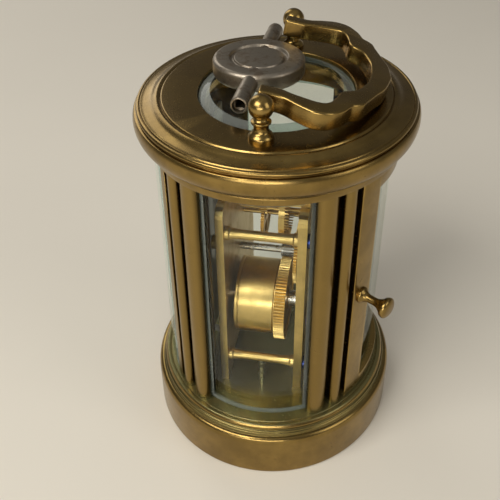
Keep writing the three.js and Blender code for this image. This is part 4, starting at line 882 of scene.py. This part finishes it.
class Panes(bpy.types.Operator):
    """Grinds and bends the case's glass"""

    bl_idname = "clock.panes"
    bl_label = "Panes"

    def execute(self, context):
        bevel = settings().glass_bevel / MM
        low, high = box_of("right_glass")
        side_half = SIDE_WINDOW_TURN + SIDE_GLASS_SEAT_TURN
        front_half = math.pi / 2 - PILASTER_TURN - FRONT_STRIP_TURN - FRONT_GLASS_GAP_TURN
        for name, middle, half, inset in (
                ("right_glass", 0, side_half, SIDE_GLASS_INSET),
                ("left_glass", math.pi, side_half, SIDE_GLASS_INSET),
                ("front_glass", -math.pi / 2, front_half, FRONT_GLASS_INSET)):
            shape = bowed_pane(middle, half, -inset, -inset - GLASS_THICKNESS,
                               low.z + 0.8, high.z - 0.8, bevel)
            piece(f"{name}_pane", shape, "case", "glass", [name], ("glass", "glass_edge"))
        low, high = box_of("top_glass")
        edge = high.x - HALF_X
        profile = [(-HALF_X, low.z), (edge - 0.15, low.z, 0.06), (edge, low.z + 0.15, 0.06),
                   (edge, high.z - TOP_GLASS_RIM, 0.1), (edge - TOP_GLASS_BEVEL, high.z, 0.08),
                   (-HALF_X, high.z)]
        shape = oval_turned(profile, 144)
        bmesh.ops.recalc_face_normals(shape, faces=shape.faces)
        for face in shape.faces:
            face.material_index = 0 if abs(face.normal.z) > 0.97 else 1
        piece("top_glass_pane", shape, "case", "glass", ["top_glass"], ("glass", "glass_edge"))
        return {"FINISHED"}


class Door(bpy.types.Operator):
    """Makes the bowed rear door, its pane, knuckle and turned knob"""

    bl_idname = "clock.door"
    bl_label = "Rear door"

    def execute(self, context):
        low, high = box_of("door_frame")
        pin = middle_of("hinge_pin_lower")
        half_thick = DOOR_THICKNESS / 2
        turn_length = math.hypot(HALF_X * math.sin(PILASTER_TURN), HALF_Y * math.cos(PILASTER_TURN))
        edge_turn = PILASTER_TURN + DOOR_GAP / turn_length
        hinge_turn = math.pi - edge_turn - half_thick / turn_length
        window = edge_turn + DOOR_STILE_TURN
        outer, inner = -DOOR_INSET, -DOOR_INSET - DOOR_THICKNESS
        rail_low, rail_high = low.z + DOOR_RAIL, high.z - DOOR_RAIL
        ways = [turn * MEAN_RADIUS for turn in (edge_turn, window, math.pi - window, hinge_turn)]
        heights = [low.z, rail_low, rail_high, high.z]
        sheet = block((ways[0], inner, heights[0]), (ways[3], outer, heights[3]))
        slice_along(sheet, 0, ways[1:3])
        slice_along(sheet, 2, heights[1:3])
        inside = [face for face in sheet.faces
                  if ways[1] < face.calc_center_median().x < ways[2]
                  and heights[1] < face.calc_center_median().z < heights[2]]
        rims = [list(face.edges) for face in inside]
        bmesh.ops.delete(sheet, geom=inside, context="FACES_ONLY")
        bmesh.ops.bridge_loops(sheet, edges=rims[0] + rims[1])
        bmesh.ops.recalc_face_normals(sheet, faces=sheet.faces)
        soften(sheet, settings().edge_softness / MM, 3, 50)
        span = ways[3] - ways[0]
        slice_along(sheet, 0, [ways[0] + span * step / 72 for step in range(1, 72)])
        bend(sheet)
        knuckle = turned([(0, low.z), (half_thick, low.z, 0.2), (half_thick, high.z, 0.2),
                          (0, high.z)], 28)
        moved(knuckle, shift(pin.x, pin.y, 0))
        piece("door_surround", combine(sheet, knuckle), "door", "case_brass", ["door_frame"])
        back = inner + DOOR_GLASS_INSET
        pane = bowed_pane(math.pi / 2, math.pi / 2 - window, back + DOOR_GLASS_THICKNESS, back,
                          rail_low, rail_high, settings().glass_bevel / MM, 0.35)
        piece("door_pane", pane, "door", "glass", ["door_glass"], ("glass", "glass_edge"))
        self.knob(edge_turn + DOOR_STILE_TURN / 2)
        dress("steel", "hinge_pin_lower", "hinge_pin_upper")
        return {"FINISHED"}

    def knob(self, turn):
        """The turned knob, square to the door's stile."""
        profile = [
            (0, -0.2), (1.9, -0.2), (1.95, 0.45, 0.2), (1.6, 0.75, 0.15), (1.3, 1.0, 0.15),
            (0.98, 1.7, 0.4), (0.9, 3.6, 0.8), (1.15, 4.6, 0.5), (1.7, 5.35, 0.4),
            (1.75, 5.6, 0.1), (2.15, 5.75, 0.15), (KNOB_RADIUS, 6.4, 0.35),
            (2.42, 7.0, 0.3), (1.7, 7.45, 0.5), (0, KNOB_LENGTH)]
        x = (HALF_X - DOOR_INSET) * math.cos(turn)
        y = (HALF_Y - DOOR_INSET) * math.sin(turn)
        normal = math.degrees(math.atan2(math.sin(turn) / HALF_Y, math.cos(turn) / HALF_X))
        shape = moved(turned(profile, 40), shift(x, y, middle_of("door_knob").z),
                      swing(normal, "Z"), swing(90, "Y"))
        piece("door_knob_turned", shape, "door", "case_brass", ["door_knob"])


class Handle(bpy.types.Operator):
    """Makes the two ball posts and the folding handle"""

    bl_idname = "clock.handle"
    bl_label = "Handle and posts"

    OUTER = ((1, -0.06), (1, 0.14), (1.07, 0.265), (1.13, 0.39), (1.13, 0.48), (1.09, 0.555),
             (1.01, 0.62), (0.94, 0.66), (0.84, 0.7), (0.8, 0.745), (0.74, 0.795),
             (0.645, 0.825), (0.56, 0.855), (0.43, 0.9), (0.26, 0.96), (0, 1))
    INNER = ((0.835, -0.06), (0.835, 0.11), (0.87, 0.205), (0.9, 0.325), (0.915, 0.42),
             (0.895, 0.485), (0.83, 0.53), (0.73, 0.56), (0.64, 0.575), (0.565, 0.605),
             (0.525, 0.655), (0.46, 0.715), (0.335, 0.765), (0.205, 0.8), (0, 0.815))

    def execute(self, context):
        for side, sign in (("right", 1), ("left", -1)):
            ball = [(BALL_RADIUS * math.cos(math.radians(lean)),
                     BALL_Z - TOP + BALL_RADIUS * math.sin(math.radians(lean)))
                    for lean in range(-60, 90, 10)]
            profile = [
                (0, 0), (COLLAR_RADIUS, 0), (COLLAR_RADIUS, 0.7, 0.2), (2.25, 1.05, 0.15),
                (2.0, 1.3, 0.1), (1.65, 1.6, 0.2), (1.42, 2.4, 0.4), (1.5, 3.15, 0.2),
                (1.95, 3.35, 0.12), (1.98, 3.75, 0.12), (1.5, 3.95, 0.1), (1.22, 4.25, 0.1),
                *ball, (0, RIGHT_POST_HIGH.z - TOP)]
            post = moved(turned(profile, 40), shift(sign * POST_X, POST_Y, TOP))
            reach = BALL_RADIUS + HANDLE_PIN_REACH
            pin = turned([(0, 0), (HANDLE_PIN_RADIUS, 0), (HANDLE_PIN_RADIUS, reach, 0.1),
                          (0, reach)], 24)
            moved(pin, shift(sign * POST_X, POST_Y, BALL_Z), swing(-90 * sign, "Y"))
            piece(f"ball_post_{side}", combine(post, pin), "case", "case_brass",
                  [f"handle_post_{side}"])
        arm = POST_X - BALL_RADIUS - HANDLE_CLEARANCE
        outer, inner = (
            curve_through([(x * arm, y * HANDLE_REACH) for x, y in shares], 5)
            for shares in (self.OUTER, self.INNER))
        outline = (outer + [(-x, y) for x, y in reversed(outer[:-1])]
                   + [(-x, y) for x, y in inner[:-1]] + list(reversed(inner)))
        low, high = -2.05, 1.75
        shape = soften(slab(outline, low, high), 0.45, 4, 55)
        moved(shape, shift(0, POST_Y, BALL_Z), swing(HANDLE_TILT, "X"))
        piece("folding_handle", shape, "handle", "case_brass", ["handle"])
        return {"FINISHED"}


def curve_through(points, steps):
    """A smooth line through points."""
    places = [Vector(point) for point in points]
    places = [places[0] * 2 - places[1], *places, places[-1] * 2 - places[-2]]
    line = []
    for before, start, end, after in zip(places, places[1:], places[2:], places[3:]):
        for step in range(steps):
            share = step / steps
            square, cube = share ** 2, share ** 3
            spot = (start * 2 + (end - before) * share
                    + (before * 2 - start * 5 + end * 4 - after) * square
                    + (start * 3 - before - end * 3 + after) * cube) / 2
            line.append((spot.x, spot.y))
    return [*line, tuple(points[-1])]


class Key(bpy.types.Operator):
    """Makes the double-ended key with its dished bow"""

    bl_idname = "clock.key"
    bl_label = "Winding key"

    def execute(self, context):
        low, high = box_of("winding_key")
        middle = (low + high) / 2
        half = (high.z - low.z) / 2
        ring, bow_radius, dish = KEY_RING_RADIUS, KEY_BOW_RADIUS, half - KEY_DISH
        face = [(ring - 0.7, half - 0.18, 0.1), (ring - 0.45, dish, 0.12), (ring + 0.1, dish, 0.12),
                (ring + 0.45, half, 0.15), (bow_radius - 0.6, half, 0.35),
                (bow_radius, half - 0.6, 0.35)]
        bow = turned([(0, -half + 0.18), *((x, -z, soft) for x, z, soft in face),
                      *reversed(face), (0, half - 0.18)], 72)
        tube, end = KEY_TUBE_RADIUS, KEY_LENGTH / 2
        barrel = turned([(0, -end), (tube - 0.15, -end, 0.08), (tube, -end + 0.2, 0.12),
                         (tube, end - 0.2, 0.12), (tube - 0.15, end, 0.08), (0, end)], 36)
        mouth = ((0, -1.4), (1.12, -1.4), (1.42, -1.1), (1.42, 1.4), (0, 1.4))
        holes = [block((-size, -size, place - KEY_SQUARE_DEPTH),
                       (size, size, place + KEY_SQUARE_DEPTH))
                 for place, size in ((end, 1.0), (-end, 0.8))]
        holes += [moved(turned(mouth, 28), shift(0, 0, place), swing(tip, "X"))
                  for place, tip in ((end, 0), (-end, 180))]
        barrel = moved(carve(barrel, *holes), swing(90, "Y"))
        shape = moved(combine(bow, barrel), shift(middle.x, KEY_PLACE_Y, middle.z),
                      swing(KEY_TILT, "Z"))
        piece("double_ended_key", shape, "key", "key_steel", ["winding_key"])
        return {"FINISHED"}


# ------------------------------------------------------------------ the movement
def facing_dial(shape, x, z):
    """Stands a shape up so that its height runs towards the dial, at a place across and up."""
    return moved(shape, shift(x, 0, z), swing(90, "X"))


def mesh_phase(start, end, teeth):
    """Where a tooth stands so that two wheels mesh on their line of centres."""
    place = math.atan2(end.z - start.z, end.x - start.x) / FULL_TURN * teeth
    return place - math.floor(place)


def toothed_ring(teeth, pitch_radius, inner, low, high, phase):
    """A ring with cut teeth outside and a round hole inside."""
    module = 2 * pitch_radius / teeth
    tip, root = pitch_radius + 0.85 * module, pitch_radius - 1.15 * module
    form = ((root, -0.5), (root + 0.2 * module, -0.40), (pitch_radius, -0.25), (tip, -0.08),
            (tip, 0.08), (pitch_radius, 0.25), (root + 0.2 * module, 0.40))
    shape = bmesh.new()
    verts = []
    for tooth in range(teeth):
        for radius, share in form:
            turn = (tooth + phase + share) / teeth * FULL_TURN
            verts.append(shape.verts.new((radius * math.cos(turn), radius * math.sin(turn), low)))
    edges = [shape.edges.new(pair) for pair in zip(verts, verts[1:] + verts[:1])]
    hole = bmesh.ops.create_circle(shape, segments=96, radius=inner)["verts"]
    bmesh.ops.translate(shape, vec=(0, 0, low), verts=hole)
    edges += list({edge for vert in hole for edge in vert.link_edges})
    faces = bmesh.ops.bridge_loops(shape, edges=edges)["faces"]
    raised = bmesh.ops.extrude_face_region(shape, geom=faces)["geom"]
    bmesh.ops.translate(shape, vec=(0, 0, high - low), verts=[
        item for item in raised if isinstance(item, bmesh.types.BMVert)])
    return shape


def crossed_wheel(teeth, pitch_radius, rim, hub, arms, low, high, phase, bore):
    """A wheel with teeth, a thin rim, tapering arms and a boss."""
    ring = toothed_ring(teeth, pitch_radius, pitch_radius - rim, low, high, phase)
    parts = [ring, turned([(bore, low), (hub, low, 0.1), (hub, high, 0.1), (bore, high)], 40)]
    for arm in range(arms):
        bar = block((hub - 0.4, -0.5, low + 0.02), (pitch_radius - rim + 0.25, 0.5, high - 0.02))
        for vert in bar.verts:
            if vert.co.x > hub:
                vert.co.y *= 0.75
        parts.append(moved(bar, swing(360 * arm / arms + 20, "Z")))
    return combine(*parts)


def slotted_screw(radius, tall, depth=0.0):
    """A polished screw head with a slot, standing on its seat, with a shank below it."""
    head = turned([(0, 0), (radius, 0, 0.05), (radius, tall * 0.7, 0.1),
                   (radius * 0.85, tall * 0.92, 0.15), (0, tall)], 32)
    slot = block((-radius - 1, -radius * 0.13, tall * 0.55), (radius + 1, radius * 0.13, tall + 1))
    head = carve(head, slot)
    if not depth:
        return head
    shank = radius * 0.52
    return combine(head, turned([(0, -depth), (shank, -depth), (shank, 0.1), (0, 0.1)], 20))


class Plates(bpy.types.Operator):
    """Dresses the two plates and turns their pillars and blued screws"""

    bl_idname = "clock.plates"
    bl_label = "Plates, pillars and screws"

    SCREW_HEAD, SCREW_DEPTH = 1.1, 2.8

    def execute(self, context):
        dress("movement_brass", "back_plate", "front_plate")
        slots = {"lower_right": 20, "lower_left": 75, "upper_right": -35, "upper_left": 50}
        for spot, turn in slots.items():
            self.pillar(spot)
            name = f"plate_screw_{spot}"
            low, high = box_of(name)
            centre, tall = middle_of(name), self.SCREW_HEAD
            shape = slotted_screw((high.z - low.z) / 2, tall, self.SCREW_DEPTH)
            moved(shape, shift(centre.x, high.y - tall, centre.z), swing(-90, "X"),
                  swing(turn, "Z"))
            piece(f"blued_{name}", shape, "case", "blued_steel", [name])
        return {"FINISHED"}

    def pillar(self, spot):
        """A turned pillar with a ringed waist."""
        name = f"pillar_{spot}"
        low, high = box_of(name)
        length = high.y - low.y
        radius = (high.z - low.z) / 2
        near = [(0, 0), (radius, 0), (radius, 0.9, 0.2), (radius - 0.25, 1.15, 0.1),
                (radius - 0.3, 1.6, 0.2), (radius - 0.5, 3.2, 0.8)]
        far = [(reach, length - along, *soft) for reach, along, *soft in reversed(near)]
        centre = middle_of(name)
        shape = moved(turned([*near, *far], 36), shift(centre.x, low.y, centre.z), swing(-90, "X"))
        piece(f"movement_{name}", shape, "case", "movement_brass", [name])


class Barrel(bpy.types.Operator):
    """Turns the going barrel with its great wheel and cover"""

    bl_idname = "clock.barrel"
    bl_label = "Barrel and winding work"

    GREAT_TEETH, PINION_LEAVES = 84, 14

    def execute(self, context):
        spot = middle_of("barrel_cover")
        centre = middle_of("hour_wheel")
        low, high = box_of("barrel")
        reach = math.hypot(centre.x - spot.x, centre.z - spot.z)
        pitch = reach * self.GREAT_TEETH / (self.GREAT_TEETH + self.PINION_LEAVES)
        drum = pitch - 0.8
        front, rear, width = -low.y, -high.y, 2.5
        ring = toothed_ring(self.GREAT_TEETH, pitch, drum - 1.2, rear, rear + width,
                            mesh_phase(spot, centre, self.GREAT_TEETH))
        face = rear + 0.02
        shell = turned([
            (2.0, face), (2.9, face, 0.1), (3.0, rear + 0.25, 0.1), (drum - 1.0, rear + 0.25, 0.1),
            (drum - 0.9, face, 0.05), (drum - 0.2, face), (drum - 0.2, rear + width + 0.05, 0.05),
            (drum - 0.35, rear + width + 0.2, 0.05), (drum - 0.35, rear + width + 0.4, 0.05),
            (drum, rear + width + 0.5, 0.1), (drum, front - 1.0, 0.1),
            (drum - 0.12, front - 0.9, 0.04), (drum - 0.12, front - 0.75, 0.04),
            (drum, front - 0.65, 0.1), (drum, front, 0.15), (drum - 0.6, front, 0.05),
            (drum - 0.6, front - 0.8), (drum - 0.95, front - 0.8), (drum - 0.95, rear + 1.0),
            (2.0, rear + 1.0)], 96)
        piece("going_barrel", facing_dial(combine(ring, shell), spot.x, spot.z), "barrel",
              "movement_brass", ["barrel"])
        edge = drum - 0.65
        cover = turned([
            (2.0, front - 0.75), (edge, front - 0.75), (edge, front - 0.1, 0.1),
            (drum - 1.1, front, 0.1), (4.0, front, 0.1), (3.7, front - 0.15, 0.1),
            (2.0, front - 0.15)], 72)
        piece("barrel_lid", facing_dial(cover, spot.x, spot.z), "barrel", "movement_brass",
              ["barrel_cover"])
        dress("steel", "barrel_arbor", "ratchet_wheel", "click")
        dress("blued_steel", "mainspring", "click_spring")
        return {"FINISHED"}


class Train(bpy.types.Operator):
    """Cuts and dresses the going train and the motion work"""

    bl_idname = "clock.train"
    bl_label = "Train"

    CENTRE_TEETH, PINION_LEAVES = 72, 8

    def execute(self, context):
        third, centre = middle_of("third_wheel"), middle_of("hour_wheel")
        low, high = box_of("centre_wheel")
        reach = math.hypot(third.x - centre.x, third.z - centre.z)
        pitch = reach * self.CENTRE_TEETH / (self.CENTRE_TEETH + self.PINION_LEAVES)
        shape = crossed_wheel(self.CENTRE_TEETH, pitch, 1.5, 1.9, 4, -high.y, -low.y,
                              mesh_phase(centre, third, self.CENTRE_TEETH), 0.95)
        piece("centre_wheel_crossed", facing_dial(shape, centre.x, centre.z), "centre",
              "movement_brass", ["centre_wheel"])
        dress("movement_brass", "third_wheel", "contrate_wheel", "minute_wheel", "hour_wheel")
        dress("steel", "centre_arbor", "cannon_pinion")
        return {"FINISHED"}


class Platform(bpy.types.Operator):
    """Makes the platform's balance, spring, jewels and screws"""

    bl_idname = "clock.platform"
    bl_label = "Platform escapement"

    LEVER_SHARE, SCREW_INSET = 3.9 / 8.2, 1.9

    def execute(self, context):
        dress("movement_brass", "platform", "escape_potence", "escape_cock", "balance_cock")
        dress("steel", "escape_wheel", "lever")
        self.balance()
        self.spring()
        self.trim()
        return {"FINISHED"}

    def balance(self):
        """The balance: a rim with timing screws, two arms, a staff and its roller."""
        low, high = box_of("balance_wheel")
        centre = middle_of("balance_wheel")
        radius = (high.x - low.x) / 2
        rim_low = box_of("hairspring")[0].z - 1.25
        rim = turned([(radius - 0.95, rim_low), (radius - 0.3, rim_low, 0.08),
                      (radius - 0.3, rim_low + 0.8, 0.08), (radius - 0.95, rim_low + 0.8)], 72)
        staff = turned([
            (0, low.z), (0.22, low.z + 0.1), (0.3, low.z + 1.2), (0.3, rim_low - 1.0),
            (1.05, rim_low - 1.0, 0.05), (1.05, rim_low - 0.6, 0.05), (0.35, rim_low - 0.5),
            (0.8, rim_low - 0.2, 0.1), (0.8, rim_low + 1.0, 0.1), (0.35, rim_low + 1.1),
            (0.25, high.z - 0.4), (0, high.z)], 28)
        arm = block((-radius + 0.6, -0.42, rim_low + 0.2), (radius - 0.6, 0.42, rim_low + 0.6))
        soften(arm, 0.05, 1)
        parts = [rim, staff, arm]
        places = 16
        for count in range(places):
            if count % 8 in (3, 4):
                continue
            screw = turned([(0, 0), (0.28, 0), (0.28, 0.28, 0.05), (0, 0.28)], 12)
            parts.append(moved(screw, swing(360 * (count + 0.5) / places, "Z"),
                               shift(radius - 0.3, 0, rim_low + 0.4), swing(90, "Y")))
        shape = moved(combine(*parts), shift(centre.x, centre.y, 0))
        piece("screwed_balance", shape, "balance", "movement_brass", ["balance_wheel"])

    def spring(self):
        """The flat spiral hairspring."""
        low, high = box_of("hairspring")
        centre = middle_of("balance_wheel")
        shape = bmesh.new()
        strip = [shape.verts.new((1.0, 0, low.z)), shape.verts.new((1.0, 0, high.z))]
        geom = [*strip, shape.edges.new(strip)]
        turns, steps, spread, thickness = 6, 48, 1.9, 0.07
        bmesh.ops.spin(shape, geom=geom, cent=(0, 0, 0), axis=(0, 0, 1), dvec=(0, 0, 0),
                       angle=FULL_TURN * turns, steps=turns * steps, use_merge=False,
                       use_normal_flip=False, use_duplicate=False)
        shape.verts.ensure_lookup_table()
        for index, vert in enumerate(shape.verts):
            grow = 1 + spread * (index // 2) / (turns * steps)
            vert.co.x *= grow
            vert.co.y *= grow
        bmesh.ops.solidify(shape, geom=shape.faces[:], thickness=thickness)
        moved(shape, shift(centre.x, centre.y, 0))
        piece("flat_hairspring", shape, "case", "blued_steel", ["hairspring"])

    def trim(self):
        """Jewels in the cocks, and the platform's corner screws."""
        cock_top, escape_top = box_of("balance_cock")[1].z, box_of("escape_cock")[1].z
        balance_y, escape_y = middle_of("balance_wheel").y, middle_of("escape_wheel").y
        lever_y = escape_y - (escape_y - balance_y) * self.LEVER_SHARE
        for name, y, z, radius in (
                ("balance", balance_y, cock_top, 0.85), ("lever", lever_y, escape_top, 0.6),
                ("escape", escape_y, escape_top, 0.6)):
            jewel = moved(turned([(0.34, 0), (radius, 0, 0.05), (radius, 0.16, 0.1),
                                  (radius * 0.6, 0.2, 0.05), (0.34, 0.08)], 28), shift(0, y, z))
            piece(f"{name}_jewel", jewel, "case", "movement_brass", finishes=("ruby",))
        low, high = box_of("platform")
        inset = self.SCREW_INSET
        for index, (x, y) in enumerate(((1, 1), (-1, 1), (1, -1), (-1, -1))):
            across = (high.x - inset) * x
            along = (low.y + high.y) / 2 + ((high.y - low.y) / 2 - inset) * y
            screw = moved(slotted_screw(1.25, 0.8), shift(across, along, high.z),
                          swing(35 + 40 * index, "Z"))
            piece(f"platform_screw_{index + 1}", screw, "case", "blued_steel")


class Dial(bpy.types.Operator):
    """Makes the enamel dial with its numerals and minute track, and the blued hands"""

    bl_idname = "clock.dial"
    bl_label = "Dial and hands"

    TRACK, NUMERAL_RADIUS = (12.9, 13.9), 10.35

    def execute(self, context):
        dress("enamel", "dial")
        dress("blued_steel", "hour_hand", "minute_hand")
        centre, face_y = middle_of("hour_wheel"), box_of("dial")[0].y
        inner, outer = self.TRACK
        marks = [self.ring(radius, width)
                 for radius, width in ((inner, 0.12), (outer, 0.12), (8.0, 0.08))]
        for minute in range(60):
            wide = 0.1 if minute % 5 else 0.3
            mark = block((-wide / 2, inner, 0), (wide / 2, outer, 0.04))
            marks.append(moved(mark, swing(-6 * minute, "Z")))
        numerals = ("XII", "I", "II", "III", "IIII", "V", "VI", "VII", "VIII", "IX", "X", "XI")
        for hour, text in enumerate(numerals):
            marks.append(moved(self.numeral(text), swing(-30 * hour, "Z"),
                               shift(0, self.NUMERAL_RADIUS, 0)))
        shape = moved(combine(*marks), shift(centre.x, face_y, centre.z), swing(90, "X"))
        piece("dial_markings", shape, "case", "enamel", finishes=("dial_black",))
        return {"FINISHED"}

    def ring(self, radius, width):
        """A thin painted circle."""
        outer = radius + width
        return turned([(radius, 0), (outer, 0), (outer, 0.04), (radius, 0.04)], 96)

    def numeral(self, text):
        """A Roman numeral of thick and thin strokes, between two serifs."""
        tall, thick, thin = 3.4, 0.5, 0.16
        widths = {"I": 0.95, "V": 2.1, "X": 2.1}
        place = -sum(widths[letter] for letter in text) / 2
        strokes = []
        for letter in text:
            wide = widths[letter]
            lean = (wide - 0.75) / 2
            middle = place + wide / 2
            if letter == "I":
                strokes.append(self.stroke(middle, middle, thick, tall))
            elif letter == "V":
                strokes.append(self.stroke(middle - lean, middle, thick, tall))
                strokes.append(self.stroke(middle + lean, middle, thin, tall))
            else:
                strokes.append(self.stroke(middle - lean, middle + lean, thick, tall))
                strokes.append(self.stroke(middle + lean, middle - lean, thin, tall))
            for end in (-tall / 2, tall / 2 - thin):
                strokes.append(
                    block((place + 0.08, end, 0), (place + wide - 0.08, end + thin, 0.05)))
            place += wide
        return combine(*strokes)

    def stroke(self, top, bottom, wide, tall):
        """One slanting stroke of a numeral."""
        shape = block((-wide / 2, -tall / 2, 0), (wide / 2, tall / 2, 0.045))
        for vert in shape.verts:
            vert.co.x += top if vert.co.y > 0 else bottom
        return shape


# ------------------------------------------------------------------ add-on
class Panel(bpy.types.Panel):
    """Lists the clock's pieces"""

    bl_idname = "VIEW3D_PT_carriage_clock"
    bl_label = "Carriage clock"
    bl_space_type = "VIEW_3D"
    bl_region_type = "UI"
    bl_category = "Carriage clock"

    def draw(self, context):
        for name in ClockSettings.__annotations__:
            self.layout.prop(context.scene.carriage_clock, name)
        for operator in PIECES:
            self.layout.operator(operator.bl_idname)


PIECES = (Stage, Base, Cornice, Pilasters, Panes, Door, Handle, Key, Plates, Barrel, Train,
          Platform, Dial)
CLASSES = (ClockSettings, *PIECES, Panel)


def register():
    """Registers the settings, the operators and the panel."""
    for one in CLASSES:
        bpy.utils.register_class(one)
    bpy.types.Scene.carriage_clock = bpy.props.PointerProperty(type=ClockSettings)


def unregister():
    """Removes what register added."""
    del bpy.types.Scene.carriage_clock
    for one in reversed(CLASSES):
        bpy.utils.unregister_class(one)


def main():
    """Builds the stage and every piece."""
    register()
    for operator in PIECES:
        group, name = operator.bl_idname.split(".")
        getattr(getattr(bpy.ops, group), name)()


if __name__ == "__main__":
    main()
